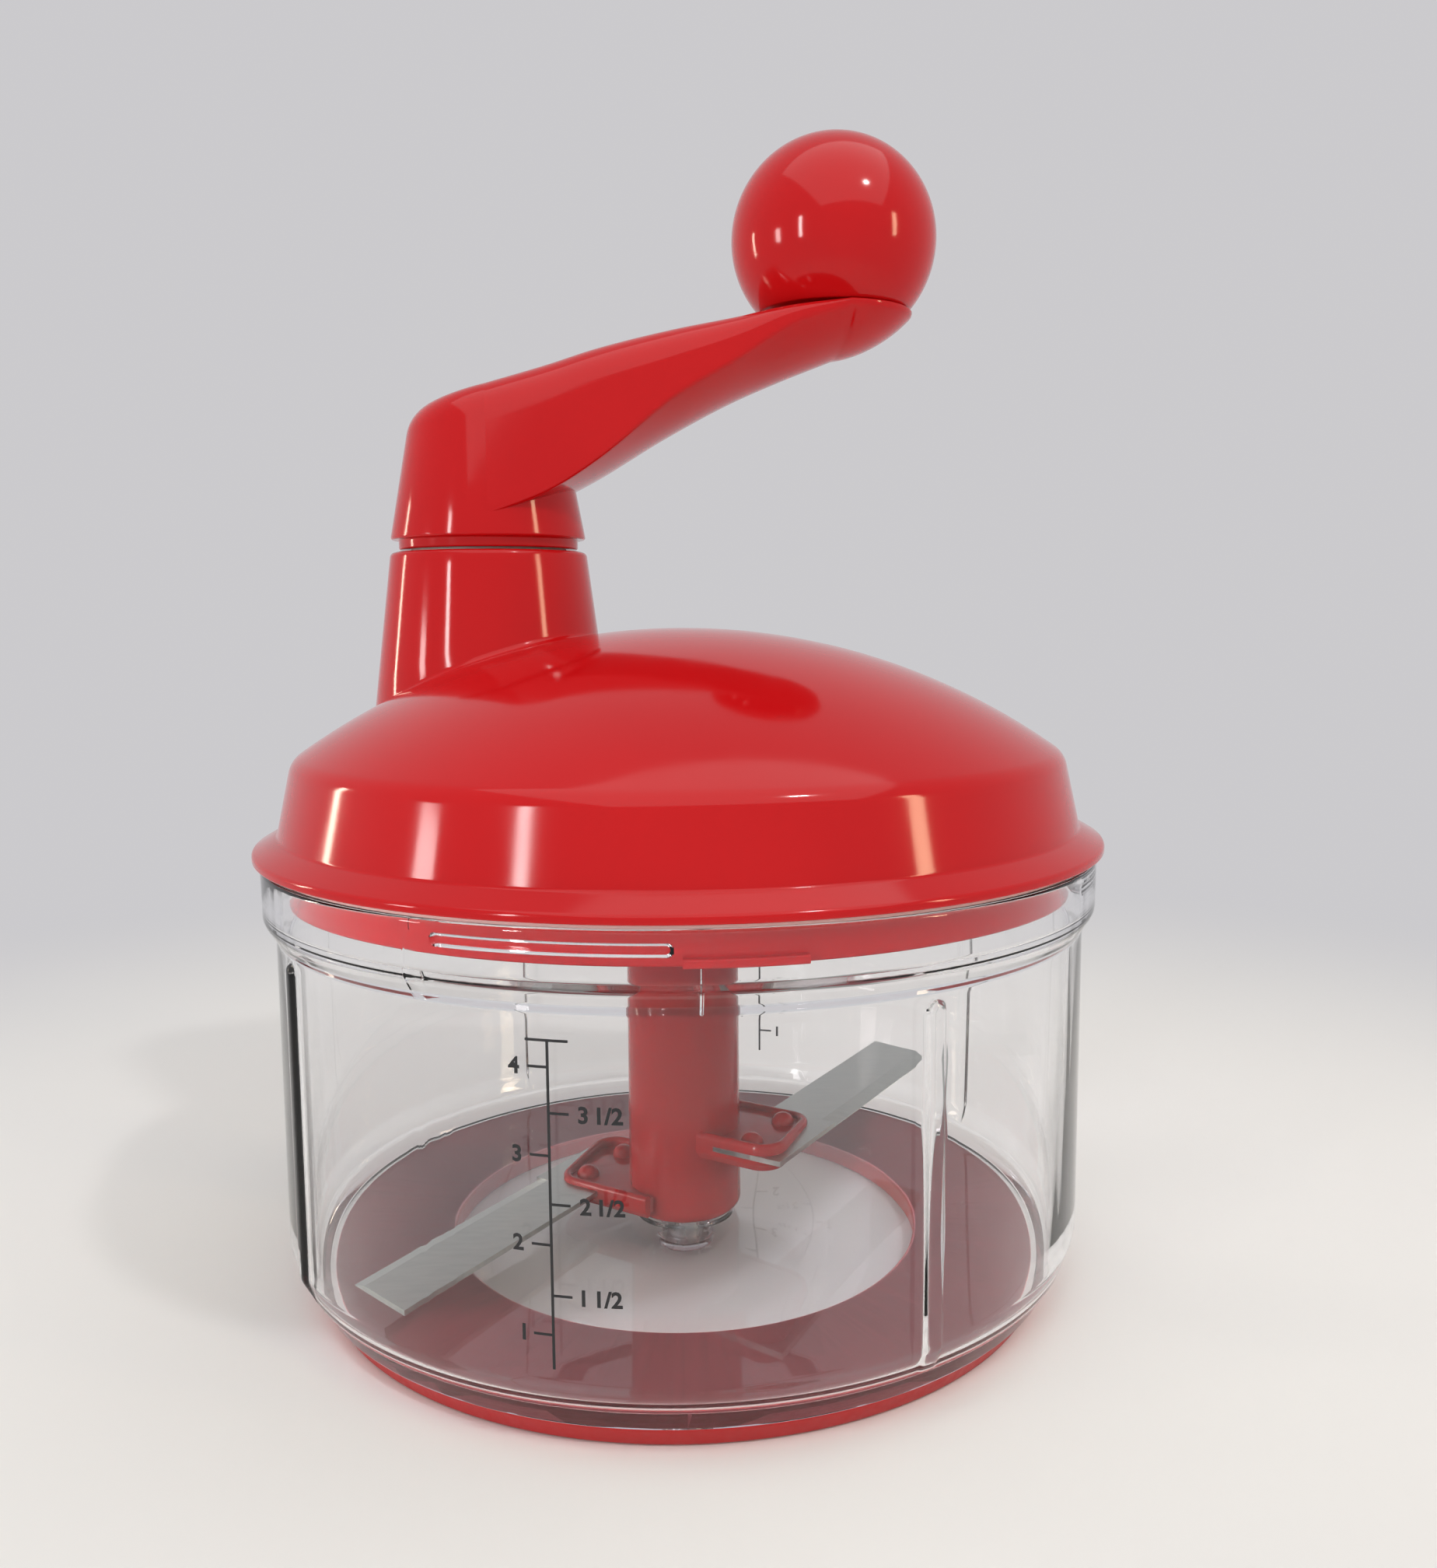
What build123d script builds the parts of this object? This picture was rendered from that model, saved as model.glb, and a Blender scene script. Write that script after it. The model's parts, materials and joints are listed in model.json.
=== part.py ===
from build123d import *
import os
from math import acos, asin, atan, atan2, cos, degrees, pi, radians, sin, sqrt, tan

# Crank food chopper: a clear measuring bowl on a red foot ring, two flat blades on an upright
# shaft, and a domed cover whose off-centre crank turns the shaft through a small gear train.
# Millimetres, +Z up. The origin is on the table, on the axis of the bowl.

os.makedirs("parts", exist_ok=True)

# ---- bowl and foot ring ----
bowl_radius = 76.4  # outside of the straight wall
bowl_wall = 2.5
floor_z = 6.7  # top of the bowl's floor
floor_thickness = 2.3
floor_corner = 6.6  # inside radius where the wall meets the floor
heel_rise = 6.7  # from the floor to where the wall starts to turn in
heel_inset = 3.7  # of the bowl's underside from its wall
collar_bottom_z = 70.6
collar_height = 12.5
collar_step = 2.3  # how far the collar stands out from the wall
collar_wall = 2.7
collar_shelf = 1.6  # height of the shelf inside the collar over the collar's foot
grip_rib_width = 2.6
grip_rib_height = 1.1
grip_rib_angle = 30.0  # of the first of four, from +X
ring_height = 4.4
ring_inset = 7.2  # of the ring's foot from the bowl's wall
ring_hole_radius = 46.0
ring_flare = 1.6  # the ring widens upwards by this much
ring_cover = 1.2  # rubber left under the webs
web_width = 1.8  # radial webs under the floor that key the ring
web_gap = 0.2  # round each web
web_margin = 1.5  # from a web's ends to the ring's edges
pin_boss_radius = 10.5
pin_boss_height = 2.9
pin_boss_wall = 3.5
pin_foot_z = 2.2  # the pivot pin stands this high in the boss

# ---- bayonet ----
bayonet_count = 4
bayonet_rib_angle = -119.0  # clockwise end of the first rib, from +X
bayonet_rib_arc = 28.0
bayonet_rib_height = 2.3
bayonet_lift = 0.25  # between a lug's top and the rib over it
bayonet_gap = 0.4  # between a rib and the skirt, and between a lug and the collar
lug_arc = 14.0
lug_height = 1.45
lug_lead = 1.0  # degrees between a rib's end and the lug of the seated cover
stop_arc = 0.9
stop_gap = 0.3  # degrees left between lug and stop when the cover is locked
twist_angle = 14.0  # clockwise, from the seated to the locked cover

# ---- cover ----
cover_wall = 2.4
flange_overhang = 1.3  # past the collar
flange_lip = 1.35
seal_thickness = 1.0
seal_width = 3.4
seal_inset = 0.5  # from the collar's outside
skirt_gap = 1.7  # between the skirt and the collar
skirt_drop = 7.2  # below the flange
skirt_wall = 2.2
dome_foot_step = 1.25  # how far the dome's foot stands out from the skirt
dome_foot_rise = 3.9  # over the underside of the flange
shoulder_inset = 2.9  # of the dome's shoulder from its foot
dome_rho = 124.3  # radius of the spherical top
dome_rise = 40.5  # from the underside of the flange to the top
shoulder_fillet = 4.6
turret_offset = 45.0  # crank axis from the bowl's axis
turret_angle = 150.0
turret_rise = 15.5  # over the top of the dome
turret_top_radius = 19.95
turret_draft = 7.3  # degrees
turret_edge = 1.1
turret_foot_fillet = 1.2
turret_roof = 3.0

# ---- gear train ----
module = 1.5
pressure_angle = 25.0
drive_teeth = 30
idler_small_teeth = 15
idler_large_teeth = 24
output_teeth = 12
tooth_addendum = 0.8  # in modules
tooth_dedendum = 1.05
backlash = 0.16
plate_thickness = 2.4
plate_rise = 1.1  # underside of the plate over the underside of the flange
plate_gap = 0.2  # round the plate
gear_gap = 1.0  # axial gap over the plate and between the two gear levels
lower_face = 7.0
upper_face = 6.0
rim_thickness = 4.5  # from the pitch circle inwards
web_recess = 2.0

# ---- spindle, bushes and pins ----
running_gap = 0.05
spindle_radius = 8.0
spindle_bore_radius = 5.2
spindle_end = 16.0  # solid length at the spindle's top that the crank screw runs through
square_size = 11.0  # across flats, where the crank sits on the spindle
square_length = 13.5
square_gap = 0.05
bush_wall = 1.6
spindle_bush_length = 20.0
idler_axle_radius = 2.5
idler_axle_end = 7.5  # length of the axle held in the cover's boss
output_journal_radius = 11.5
output_stub_radius = 4.0
output_stub_length = 6.5
output_bush_wall = 2.0
output_bush_drop = 1.6  # below the plate
bush_flange = 0.7
bush_flange_width = 0.7
output_shoulder_radius = 13.6
output_shoulder = 1.4
output_drop = 13.7  # the drive socket hangs this far under the plate's top
boss_wall = 2.5
end_gap = 0.5  # between a gear and the boss over it
thrust_gap = 0.05
screw_gap = 0.1
crank_screw_radius = 2.5
crank_screw_grip = 9.0  # length of the screw in the crank
crank_screw_head_radius = 4.5
crank_screw_head = 3.0
plate_screw_radius = 1.5
plate_screw_head_radius = 3.0
plate_screw_head = 1.6
plate_screw_length = 10.0
plate_screw_inset = 7.6  # from the inside of the skirt
plate_screw_angles = (15.0, 88.0, 222.0, 290.0)

# ---- blade shaft ----
shaft_lift = 0.4  # between the boss in the floor and the shaft's foot
shaft_bottom_radius = 11.3
shaft_top_radius = 10.9
shaft_clear = 1.5  # between the shaft's top and the drive socket
shaft_wall = 2.0
pivot_pin_radius = 3.0
pivot_length = 17.0  # how far the pivot pin reaches up into the shaft
pivot_end_gap = 0.3
pivot_roof = 3.0
dog_count = 3
dog_core_radius = 5.0
dog_radius = 8.0
dog_arc = 18.0
dog_side_gap = 1.0  # degrees
dog_height = 13.0
socket_gap = 0.4
head_flange = 1.2
head_plug = 12.0

# ---- blades ----
blade_angle = 57.0  # the upper blade points this way from +X
lower_blade_lift = 2.0  # underside of the lower blade over the shaft's foot
blade_step = 12.0  # from the lower to the upper blade
blade_thickness = 1.0
tip_room = 8.4  # from the blade's tip to the bowl's wall, along the blade
blade_width = 14.8
blade_root = 8.0  # how far the blade runs back past the shaft's axis
blade_clear = 0.3  # between the shaft or a rim and the blade
blade_bevel = 3.0
tip_slant = 3.0
tray_thickness = 2.2
tray_end = 14.0
tray_rim = 1.7
rim_height = 3.4
bridge_width = 2.4
stud_radius = 2.0
stud_head = 0.8  # how far a stud's head stands out
stud_head_height = 1.6
stud_places = (-3.0, 8.5)

# ---- crank ----
crank_angle = 7.0  # rest direction of the arm, from +X
crank_length = 72.6
washer_thickness = 0.5
neck_radius = 16.8
neck_height = 2.9
hub_radius = 19.7
hub_draft = 6.7  # degrees
hub_slope = 17.0  # degrees, slope of the hub's top
hub_edge = 6.0
cup_radius = 17.0
arm_rise = 47.9  # from the hub's foot to the seam under the knob
knob_seat_radius = 9.0  # raised ring that the knob turns on
knob_seat_height = 0.15
# stations along the arm: share of its length, then three heights as shares of the rise from the
# hub's foot to the seam (edge of the underside, its lowest line, top), and the top's edge radius
arm_stations = (
    (0.00, 0.063, 0.042, 0.616, 6.0),
    (0.17, 0.167, 0.136, 0.693, 6.0),
    (0.30, 0.294, 0.230, 0.757, 6.0),
    (0.51, 0.557, 0.428, 0.846, 5.0),
    (0.69, 0.764, 0.595, 0.914, 3.0),
    (0.83, 0.908, 0.699, 0.966, 1.2),
    (1.00, 0.981, 0.787, 1.000, 0.4),
)

# ---- knob ----
knob_radius = 21.3
knob_overhang = 0.2  # past the cup, at the seam
knob_gap = 0.3
knob_wall = 3.0
knob_axle_radius = 3.5
knob_axle_sink = 5.5
knob_axle_head_radius = 5.6
knob_axle_head = 2.0
knob_sleeve_wall = 2.5
knob_sleeve_length = 21.0
knob_boss_wall = 3.0

# ---- places that follow from the sizes ----
tx = turret_offset * cos(radians(turret_angle))
ty = turret_offset * sin(radians(turret_angle))
turret_axis = Axis((tx, ty, 0), (0, 0, 1))
kx = tx + crank_length * cos(radians(crank_angle))
ky = ty + crank_length * sin(radians(crank_angle))
knob_axis = Axis((kx, ky, 0), (0, 0, 1))
inner_radius = bowl_radius - bowl_wall
heel_z = floor_z + heel_rise
ring_outer_radius = bowl_radius - ring_inset  # where it meets the table
collar_radius = bowl_radius + collar_step
collar_inner_radius = collar_radius - collar_wall
rim_z = collar_bottom_z + collar_height
flange_z = rim_z + seal_thickness  # underside of the flange
flange_radius = collar_radius + flange_overhang
skirt_radius = collar_inner_radius - skirt_gap
skirt_bottom_z = flange_z - skirt_drop
bayonet_rib_z = skirt_bottom_z + lug_height + bayonet_lift
bayonet_depth = skirt_gap - bayonet_gap  # of the ribs and of the lugs
dome_foot_radius = skirt_radius + dome_foot_step
dome_foot_z = flange_z + dome_foot_rise
shoulder_radius = dome_foot_radius - shoulder_inset
dome_top_z = flange_z + dome_rise
turret_top_z = dome_top_z + turret_rise
sphere_z = dome_top_z - dome_rho
shoulder_z = sphere_z + sqrt(dome_rho**2 - shoulder_radius**2)
skirt_inner = skirt_radius - skirt_wall
plate_screw_pitch_radius = skirt_inner - plate_screw_inset
plate_z = flange_z + plate_rise
plate_top_z = plate_z + plate_thickness
lower_gear_z = plate_top_z + gear_gap
upper_gear_z = lower_gear_z + lower_face + gear_gap
drive_pitch = module * drive_teeth / 2
idler_small_pitch = module * idler_small_teeth / 2
idler_large_pitch = module * idler_large_teeth / 2
output_pitch = module * output_teeth / 2
crank_to_idler = drive_pitch + idler_small_pitch
idler_to_output = idler_large_pitch + output_pitch
# the three axes form a triangle whose sides are the two centre distances and the crank's offset
idler_corner = degrees(
    acos(
        (turret_offset**2 + idler_to_output**2 - crank_to_idler**2)
        / (2 * turret_offset * idler_to_output)
    )
)
idler_angle = turret_angle + idler_corner
ix = idler_to_output * cos(radians(idler_angle))
iy = idler_to_output * sin(radians(idler_angle))
lug_angle = bayonet_rib_angle + bayonet_rib_arc + lug_lead
socket_bottom_z = plate_top_z - output_drop
shaft_bottom_z = floor_z + pin_boss_height + shaft_lift
shaft_top_z = socket_bottom_z - shaft_clear
lower_blade_z = shaft_bottom_z + lower_blade_lift
upper_blade_z = lower_blade_z + blade_step
blade_reach = inner_radius - tip_room
idler_top_z = upper_gear_z + upper_face
crank_foot_z = turret_top_z + washer_thickness
hub_foot_z = crank_foot_z + neck_height
seam_z = hub_foot_z + arm_rise
knob_foot_radius = cup_radius + knob_overhang
knob_foot_z = seam_z + knob_gap
knob_centre_z = knob_foot_z + sqrt(knob_radius**2 - knob_foot_radius**2)
blade_inner = shaft_bottom_radius + blade_clear
blade_outer = blade_inner + blade_width


def upright(x, y, angle=0.0):
    """A plane that stands on the point (x, y): its x axis runs outwards at the angle, its y axis up."""
    a = radians(angle)
    return Plane(origin=(x, y, 0), x_dir=(cos(a), sin(a), 0), z_dir=(sin(a), -cos(a), 0))


def gear_points(teeth, tooth_angle):
    """Outline of a spur gear with one tooth centred on tooth_angle (degrees): involute flanks."""
    pitch = module * teeth / 2
    base = pitch * cos(radians(pressure_angle))
    tip = pitch + tooth_addendum * module
    root = pitch - tooth_dedendum * module

    def involute(radius):
        t = sqrt(max((radius / base) ** 2 - 1, 0))
        return t - atan(t)

    half_tooth = pi / (2 * teeth) - backlash / (2 * pitch)
    start = max(base, root)
    flank = [start + (tip - start) * share for share in (0, 0.5, 1)]
    half = [half_tooth + involute(pitch) - involute(r) for r in flank]
    side = ([(root, half[0])] if root < base - 0.01 else []) + list(zip(flank, half))
    points = []
    for tooth in range(teeth):
        middle = radians(tooth_angle) + 2 * pi * tooth / teeth
        points += [(r * cos(middle - h), r * sin(middle - h)) for r, h in side]
        points += [(r * cos(middle + h), r * sin(middle + h)) for r, h in reversed(side)]
    return points


# ======== base ========

web_length = ring_outer_radius - ring_hole_radius - 2 * web_margin
web_places = PolarLocations(
    ring_hole_radius + web_margin + web_length / 2, 4, bayonet_rib_angle + bayonet_rib_arc / 2
)
with BuildPart() as bowl:
    with BuildSketch(Plane.XZ):
        with BuildLine():
            Polyline(
                (0, floor_z - floor_thickness),
                (bowl_radius - heel_inset - 0.5, floor_z - floor_thickness),
                (bowl_radius - heel_inset, floor_z - floor_thickness + 0.5),
                (bowl_radius - heel_inset + 1.0, heel_z - 5.2),
                (bowl_radius - heel_inset + 2.0, heel_z - 4.8),
            )
            ThreePointArc(
                (bowl_radius - heel_inset + 2.0, heel_z - 4.8),
                (bowl_radius - 0.45, heel_z - 2.4),
                (bowl_radius, heel_z),
            )
            Polyline(
                (bowl_radius, heel_z),
                (bowl_radius, collar_bottom_z),
                (collar_radius - 1.4, collar_bottom_z),
                (collar_radius - 0.3, collar_bottom_z + 1.3),
                (collar_radius, collar_bottom_z + 4.0),
                (collar_radius, rim_z - 0.6),
                (collar_radius - 0.6, rim_z),
                (collar_inner_radius + 0.4, rim_z),
                (collar_inner_radius, rim_z - 0.4),
                (collar_inner_radius, collar_bottom_z + collar_shelf + 1.8),
                (inner_radius, collar_bottom_z + collar_shelf),
                (inner_radius, floor_z + floor_corner),
            )
            RadiusArc(
                (inner_radius, floor_z + floor_corner),
                (inner_radius - floor_corner, floor_z),
                floor_corner,
            )
            Polyline(
                (inner_radius - floor_corner, floor_z),
                (pin_boss_radius, floor_z),
                (pin_boss_radius - 0.3, floor_z + pin_boss_height),
                (0, floor_z + pin_boss_height),
                (0, floor_z - floor_thickness),
            )
        make_face()
    revolve(axis=Axis.Z)
    # boss under the floor for the pivot pin, and webs that key the foot ring
    with BuildSketch(Plane.XY.offset(ring_cover)):
        Circle(pivot_pin_radius + pin_boss_wall)
    extrude(amount=floor_z - floor_thickness / 2 - ring_cover)
    with BuildSketch(Plane.XY.offset(ring_cover + web_gap)):
        with web_places:
            Rectangle(web_length, web_width)
    extrude(amount=floor_z - floor_thickness / 2 - ring_cover - web_gap)
    # four grip ribs up the outside
    for turn in range(4):
        with BuildSketch(upright(0, 0, grip_rib_angle + 90 * turn)):
            with BuildLine():
                Polyline(
                    (bowl_radius - bowl_wall / 2, heel_z - 1.6),
                    (bowl_radius + grip_rib_height * 0.6, heel_z - 2.4),
                    (bowl_radius + grip_rib_height, heel_z - 0.4),
                    (bowl_radius + grip_rib_height, collar_bottom_z - 2.4),
                    (bowl_radius + grip_rib_height * 0.4, collar_bottom_z - 0.8),
                    (bowl_radius - bowl_wall / 2, collar_bottom_z - 0.8),
                    close=True,
                )
            make_face()
        extrude(amount=grip_rib_width / 2, both=True)
    # bayonet ribs inside the collar, and under each a stop
    for turn in range(bayonet_count):
        step = turn * 360 / bayonet_count
        with BuildSketch(upright(0, 0, bayonet_rib_angle + step)):
            with Locations((collar_inner_radius - bayonet_depth, bayonet_rib_z)):
                Rectangle(bayonet_depth + 0.5, bayonet_rib_height, align=(Align.MIN, Align.MIN))
        revolve(axis=Axis.Z, revolution_arc=bayonet_rib_arc)
        with BuildSketch(upright(0, 0, lug_angle - twist_angle - stop_gap - stop_arc + step)):
            with Locations((collar_inner_radius - bayonet_depth, skirt_bottom_z)):
                Rectangle(
                    bayonet_depth + 0.5,
                    bayonet_rib_z - skirt_bottom_z + 0.2,
                    align=(Align.MIN, Align.MIN),
                )
        revolve(axis=Axis.Z, revolution_arc=stop_arc)
    # hole for the pivot pin
    with BuildSketch(Plane.XY.offset(pin_foot_z)):
        Circle(pivot_pin_radius)
    extrude(amount=floor_z + pin_boss_height, mode=Mode.SUBTRACT)
bowl.part.label = "bowl"
export_step(bowl.part, "parts/bowl.step")

with BuildPart() as base_ring:
    with BuildSketch(Plane.XZ):
        with BuildLine():
            Polyline(
                (ring_hole_radius, 0),
                (ring_outer_radius, 0),
                (ring_outer_radius + ring_flare, ring_height - 1.0),
                (ring_outer_radius + ring_flare, ring_height),
                (ring_hole_radius, ring_height),
                close=True,
            )
        make_face()
    revolve(axis=Axis.Z)
    with BuildSketch(Plane.XY.offset(ring_cover)):
        with web_places:
            Rectangle(web_length + 2 * web_gap, web_width + 2 * web_gap)
    extrude(amount=ring_height, mode=Mode.SUBTRACT)
base_ring.part.label = "base_ring"
export_step(base_ring.part, "parts/base_ring.step")

pivot_top_z = shaft_bottom_z + pivot_length
with BuildPart() as pivot_pin:
    with BuildSketch(Plane.XY.offset(pin_foot_z)):
        Circle(pivot_pin_radius)
    extrude(amount=pivot_top_z - pin_foot_z)
    chamfer(pivot_pin.edges().group_by(Axis.Z)[-1], 0.6)
pivot_pin.part.label = "pivot_pin"
export_step(pivot_pin.part, "parts/pivot_pin.step")

# ======== blades ========


def blade_frame(angle, z):
    """Plane at height z whose x axis runs along the blade and whose y axis points to its cutting edge."""
    a = radians(angle)
    return Plane(origin=(0, 0, z), x_dir=(cos(a), sin(a), 0), z_dir=(0, 0, 1))


bush_bore = pivot_pin_radius + running_gap
pivot_bush_radius = pivot_pin_radius + bush_wall
blade_levels = ((blade_angle, upper_blade_z), (blade_angle + 180, lower_blade_z))

with BuildPart() as blade_shaft:
    with BuildSketch(Plane.XZ):
        with BuildLine():
            Polyline(
                (0, shaft_bottom_z),
                (shaft_bottom_radius - 1.2, shaft_bottom_z),
                (shaft_bottom_radius, shaft_bottom_z + 1.2),
                (shaft_top_radius, shaft_top_z),
                (0, shaft_top_z),
                close=True,
            )
        make_face()
    revolve(axis=Axis.Z)
    for angle, z in blade_levels:
        # tray under the blade, with a rim on three sides; the blade's right-hand side is -y here
        tray_back = blade_root + blade_clear + tray_rim
        tray_side = blade_outer + blade_clear + tray_rim
        stud_middle = -(blade_inner + blade_outer) / 2
        with BuildSketch(blade_frame(angle, z - tray_thickness)):
            with Locations((-tray_back, 0)):
                Rectangle(tray_back + tray_end, tray_side, align=(Align.MIN, Align.MAX))
        extrude(amount=tray_thickness)
        with BuildSketch(blade_frame(angle, z)):
            with Locations((-tray_back, tray_rim - tray_side)):
                Rectangle(tray_back + tray_end, tray_rim, align=(Align.MIN, Align.MAX))
            with Locations((-tray_back, 0)):
                Rectangle(tray_rim, tray_side, align=(Align.MIN, Align.MAX))
        extrude(amount=rim_height)
        # bridge over the blade at the tray's outer end
        with BuildSketch(blade_frame(angle, z + blade_thickness + thrust_gap)):
            with Locations((tray_end - bridge_width, 0)):
                Rectangle(bridge_width, tray_side, align=(Align.MIN, Align.MAX))
        extrude(amount=rim_height - blade_thickness - thrust_gap)
        # studs through the blade, their heads spread over it
        with BuildSketch(blade_frame(angle, z)):
            with Locations(*[(x, stud_middle) for x in stud_places]):
                Circle(stud_radius)
        extrude(amount=blade_thickness + thrust_gap)
        with BuildSketch(blade_frame(angle, z + blade_thickness + thrust_gap)):
            with Locations(*[(x, stud_middle) for x in stud_places]):
                Circle(stud_radius + stud_head)
        extrude(amount=stud_head_height, taper=25)
    # the tube is hollow over the pivot, and bored for the pivot's bush
    with BuildSketch(Plane.XY.offset(pivot_top_z + pivot_roof)):
        Circle(shaft_top_radius - shaft_wall)
    extrude(amount=shaft_top_z - pivot_top_z, mode=Mode.SUBTRACT)
    with BuildSketch(Plane.XY.offset(shaft_bottom_z - shaft_lift)):
        Circle(pivot_bush_radius)
    extrude(amount=shaft_lift + pivot_length + pivot_end_gap, mode=Mode.SUBTRACT)
blade_shaft.part.label = "blade_shaft"
export_step(blade_shaft.part, "parts/blade_shaft.step")

with BuildPart() as pivot_bush:
    with BuildSketch(Plane.XY.offset(shaft_bottom_z)):
        Circle(pivot_bush_radius)
        Circle(bush_bore, mode=Mode.SUBTRACT)
    extrude(amount=pivot_length + pivot_end_gap)
pivot_bush.part.label = "pivot_bush"
export_step(pivot_bush.part, "parts/pivot_bush.step")


def make_blade(angle, z):
    """A flat blade: root in the tray, slanted tip, ground along its leading edge."""
    middle = -(blade_inner + blade_outer) / 2
    with BuildPart() as blade:
        with BuildSketch(blade_frame(angle, z)):
            with BuildLine():
                Polyline(
                    (-blade_root, -blade_inner),
                    (blade_reach + tip_slant / 2, -blade_inner),
                    (blade_reach - tip_slant / 2, -blade_outer),
                    (-blade_root, -blade_outer),
                    close=True,
                )
            make_face()
            with Locations(*[(x, middle) for x in stud_places]):
                Circle(stud_radius + running_gap, mode=Mode.SUBTRACT)
        extrude(amount=blade_thickness)
        edge_plane = blade_frame(angle, 0)
        ground = Plane(origin=(0, 0, 0), x_dir=-edge_plane.y_dir, z_dir=edge_plane.x_dir)
        with BuildSketch(ground.offset(tray_end + 1.0)):
            with BuildLine():
                Polyline(
                    (blade_outer - blade_bevel, -z - blade_thickness),
                    (blade_outer + 1.0, -z - blade_thickness),
                    (blade_outer + 1.0, -z - 0.1),
                    (blade_outer, -z - 0.15),
                    close=True,
                )
            make_face()
        extrude(amount=blade_reach, mode=Mode.SUBTRACT)
    return blade.part


upper_blade = make_blade(blade_angle, upper_blade_z)
upper_blade.label = "upper_blade"
export_step(upper_blade, "parts/upper_blade.step")
lower_blade = make_blade(blade_angle + 180, lower_blade_z)
lower_blade.label = "lower_blade"
export_step(lower_blade, "parts/lower_blade.step")

dog_foot_z = shaft_top_z + head_flange
with BuildPart() as drive_head:
    with BuildSketch(Plane.XY.offset(shaft_top_z - head_plug)):
        Circle(shaft_top_radius - shaft_wall)
    extrude(amount=head_plug)
    with BuildSketch(Plane.XY.offset(shaft_top_z)):
        Circle(shaft_top_radius)
    extrude(amount=head_flange)
    with BuildSketch(Plane.XY.offset(dog_foot_z)):
        Circle(dog_core_radius)
    extrude(amount=dog_height + 1.0)
    chamfer(drive_head.edges().group_by(Axis.Z)[-1], 1.0)
    for dog in range(dog_count):
        with BuildSketch(upright(0, 0, dog * 360 / dog_count - dog_arc / 2)):
            with BuildLine():
                Polyline(
                    (dog_core_radius - 0.5, dog_foot_z),
                    (dog_radius, dog_foot_z),
                    (dog_radius, dog_foot_z + dog_height - 1.5),
                    (dog_radius - 1.0, dog_foot_z + dog_height),
                    (dog_core_radius - 0.5, dog_foot_z + dog_height),
                    close=True,
                )
            make_face()
        revolve(axis=Axis.Z, revolution_arc=dog_arc)
drive_head.part.label = "drive_head"
export_step(drive_head.part, "parts/drive_head.step")

# ======== cover ========

seal_outer_radius = collar_radius - seal_inset
with BuildPart() as cover_seal:
    with BuildSketch(Plane.XY.offset(rim_z)):
        Circle(seal_outer_radius)
        Circle(seal_outer_radius - seal_width, mode=Mode.SUBTRACT)
    extrude(amount=flange_z - rim_z)
cover_seal.part.label = "cover_seal"
export_step(cover_seal.part, "parts/cover_seal.step")

spindle_bush_radius = spindle_radius + running_gap + bush_wall
turret_root_z = plate_top_z + lower_face  # below the dome's skin all round the turret
turret_root_radius = turret_top_radius + (turret_top_z - turret_root_z) * tan(radians(turret_draft))
bore_floor_z = idler_top_z + end_gap  # foot of the bosses over the gears

# the space inside the cover, less the bosses that stand in it
with BuildPart() as cover_hollow:
    inner_rho = dome_rho - cover_wall
    inner_shoulder_radius = shoulder_radius - cover_wall
    inner_shoulder_z = sphere_z + sqrt(inner_rho**2 - inner_shoulder_radius**2)
    with BuildSketch(Plane.XZ):
        with BuildLine():
            Polyline(
                (0, inner_rho + sphere_z),
                (0, skirt_bottom_z - 1.0),
                (skirt_inner, skirt_bottom_z - 1.0),
                (skirt_inner, dome_foot_z),
                (inner_shoulder_radius, inner_shoulder_z),
            )
            RadiusArc(
                (inner_shoulder_radius, inner_shoulder_z),
                (0, inner_rho + sphere_z),
                -inner_rho,
            )
        make_face()
    revolve(axis=Axis.Z)
    with BuildSketch(Plane.XY.offset(turret_root_z)):
        with Locations((tx, ty)):
            Circle(turret_root_radius - cover_wall)
    extrude(amount=turret_top_z - turret_roof - turret_root_z, taper=turret_draft)
    # tube that holds the spindle's bush
    with BuildSketch(Plane.XY.offset(turret_top_z - spindle_bush_length - 1.0)):
        with Locations((tx, ty)):
            Circle(spindle_bush_radius + boss_wall)
    extrude(amount=turret_top_z, mode=Mode.SUBTRACT)
    # bosses over the idler's axle and over the output gear's stub
    with BuildSketch(Plane.XY.offset(bore_floor_z)):
        with Locations((ix, iy)):
            Circle(idler_axle_radius + boss_wall)
        with Locations((0, 0)):
            Circle(output_stub_radius + running_gap + boss_wall)
    extrude(amount=turret_top_z, mode=Mode.SUBTRACT)
    # bosses for the plate's screws
    with BuildSketch(Plane.XY.offset(plate_top_z)):
        for angle in plate_screw_angles:
            with PolarLocations(plate_screw_pitch_radius, 1, angle):
                Circle(plate_screw_radius + boss_wall)
    extrude(amount=turret_top_z, mode=Mode.SUBTRACT)

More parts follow.
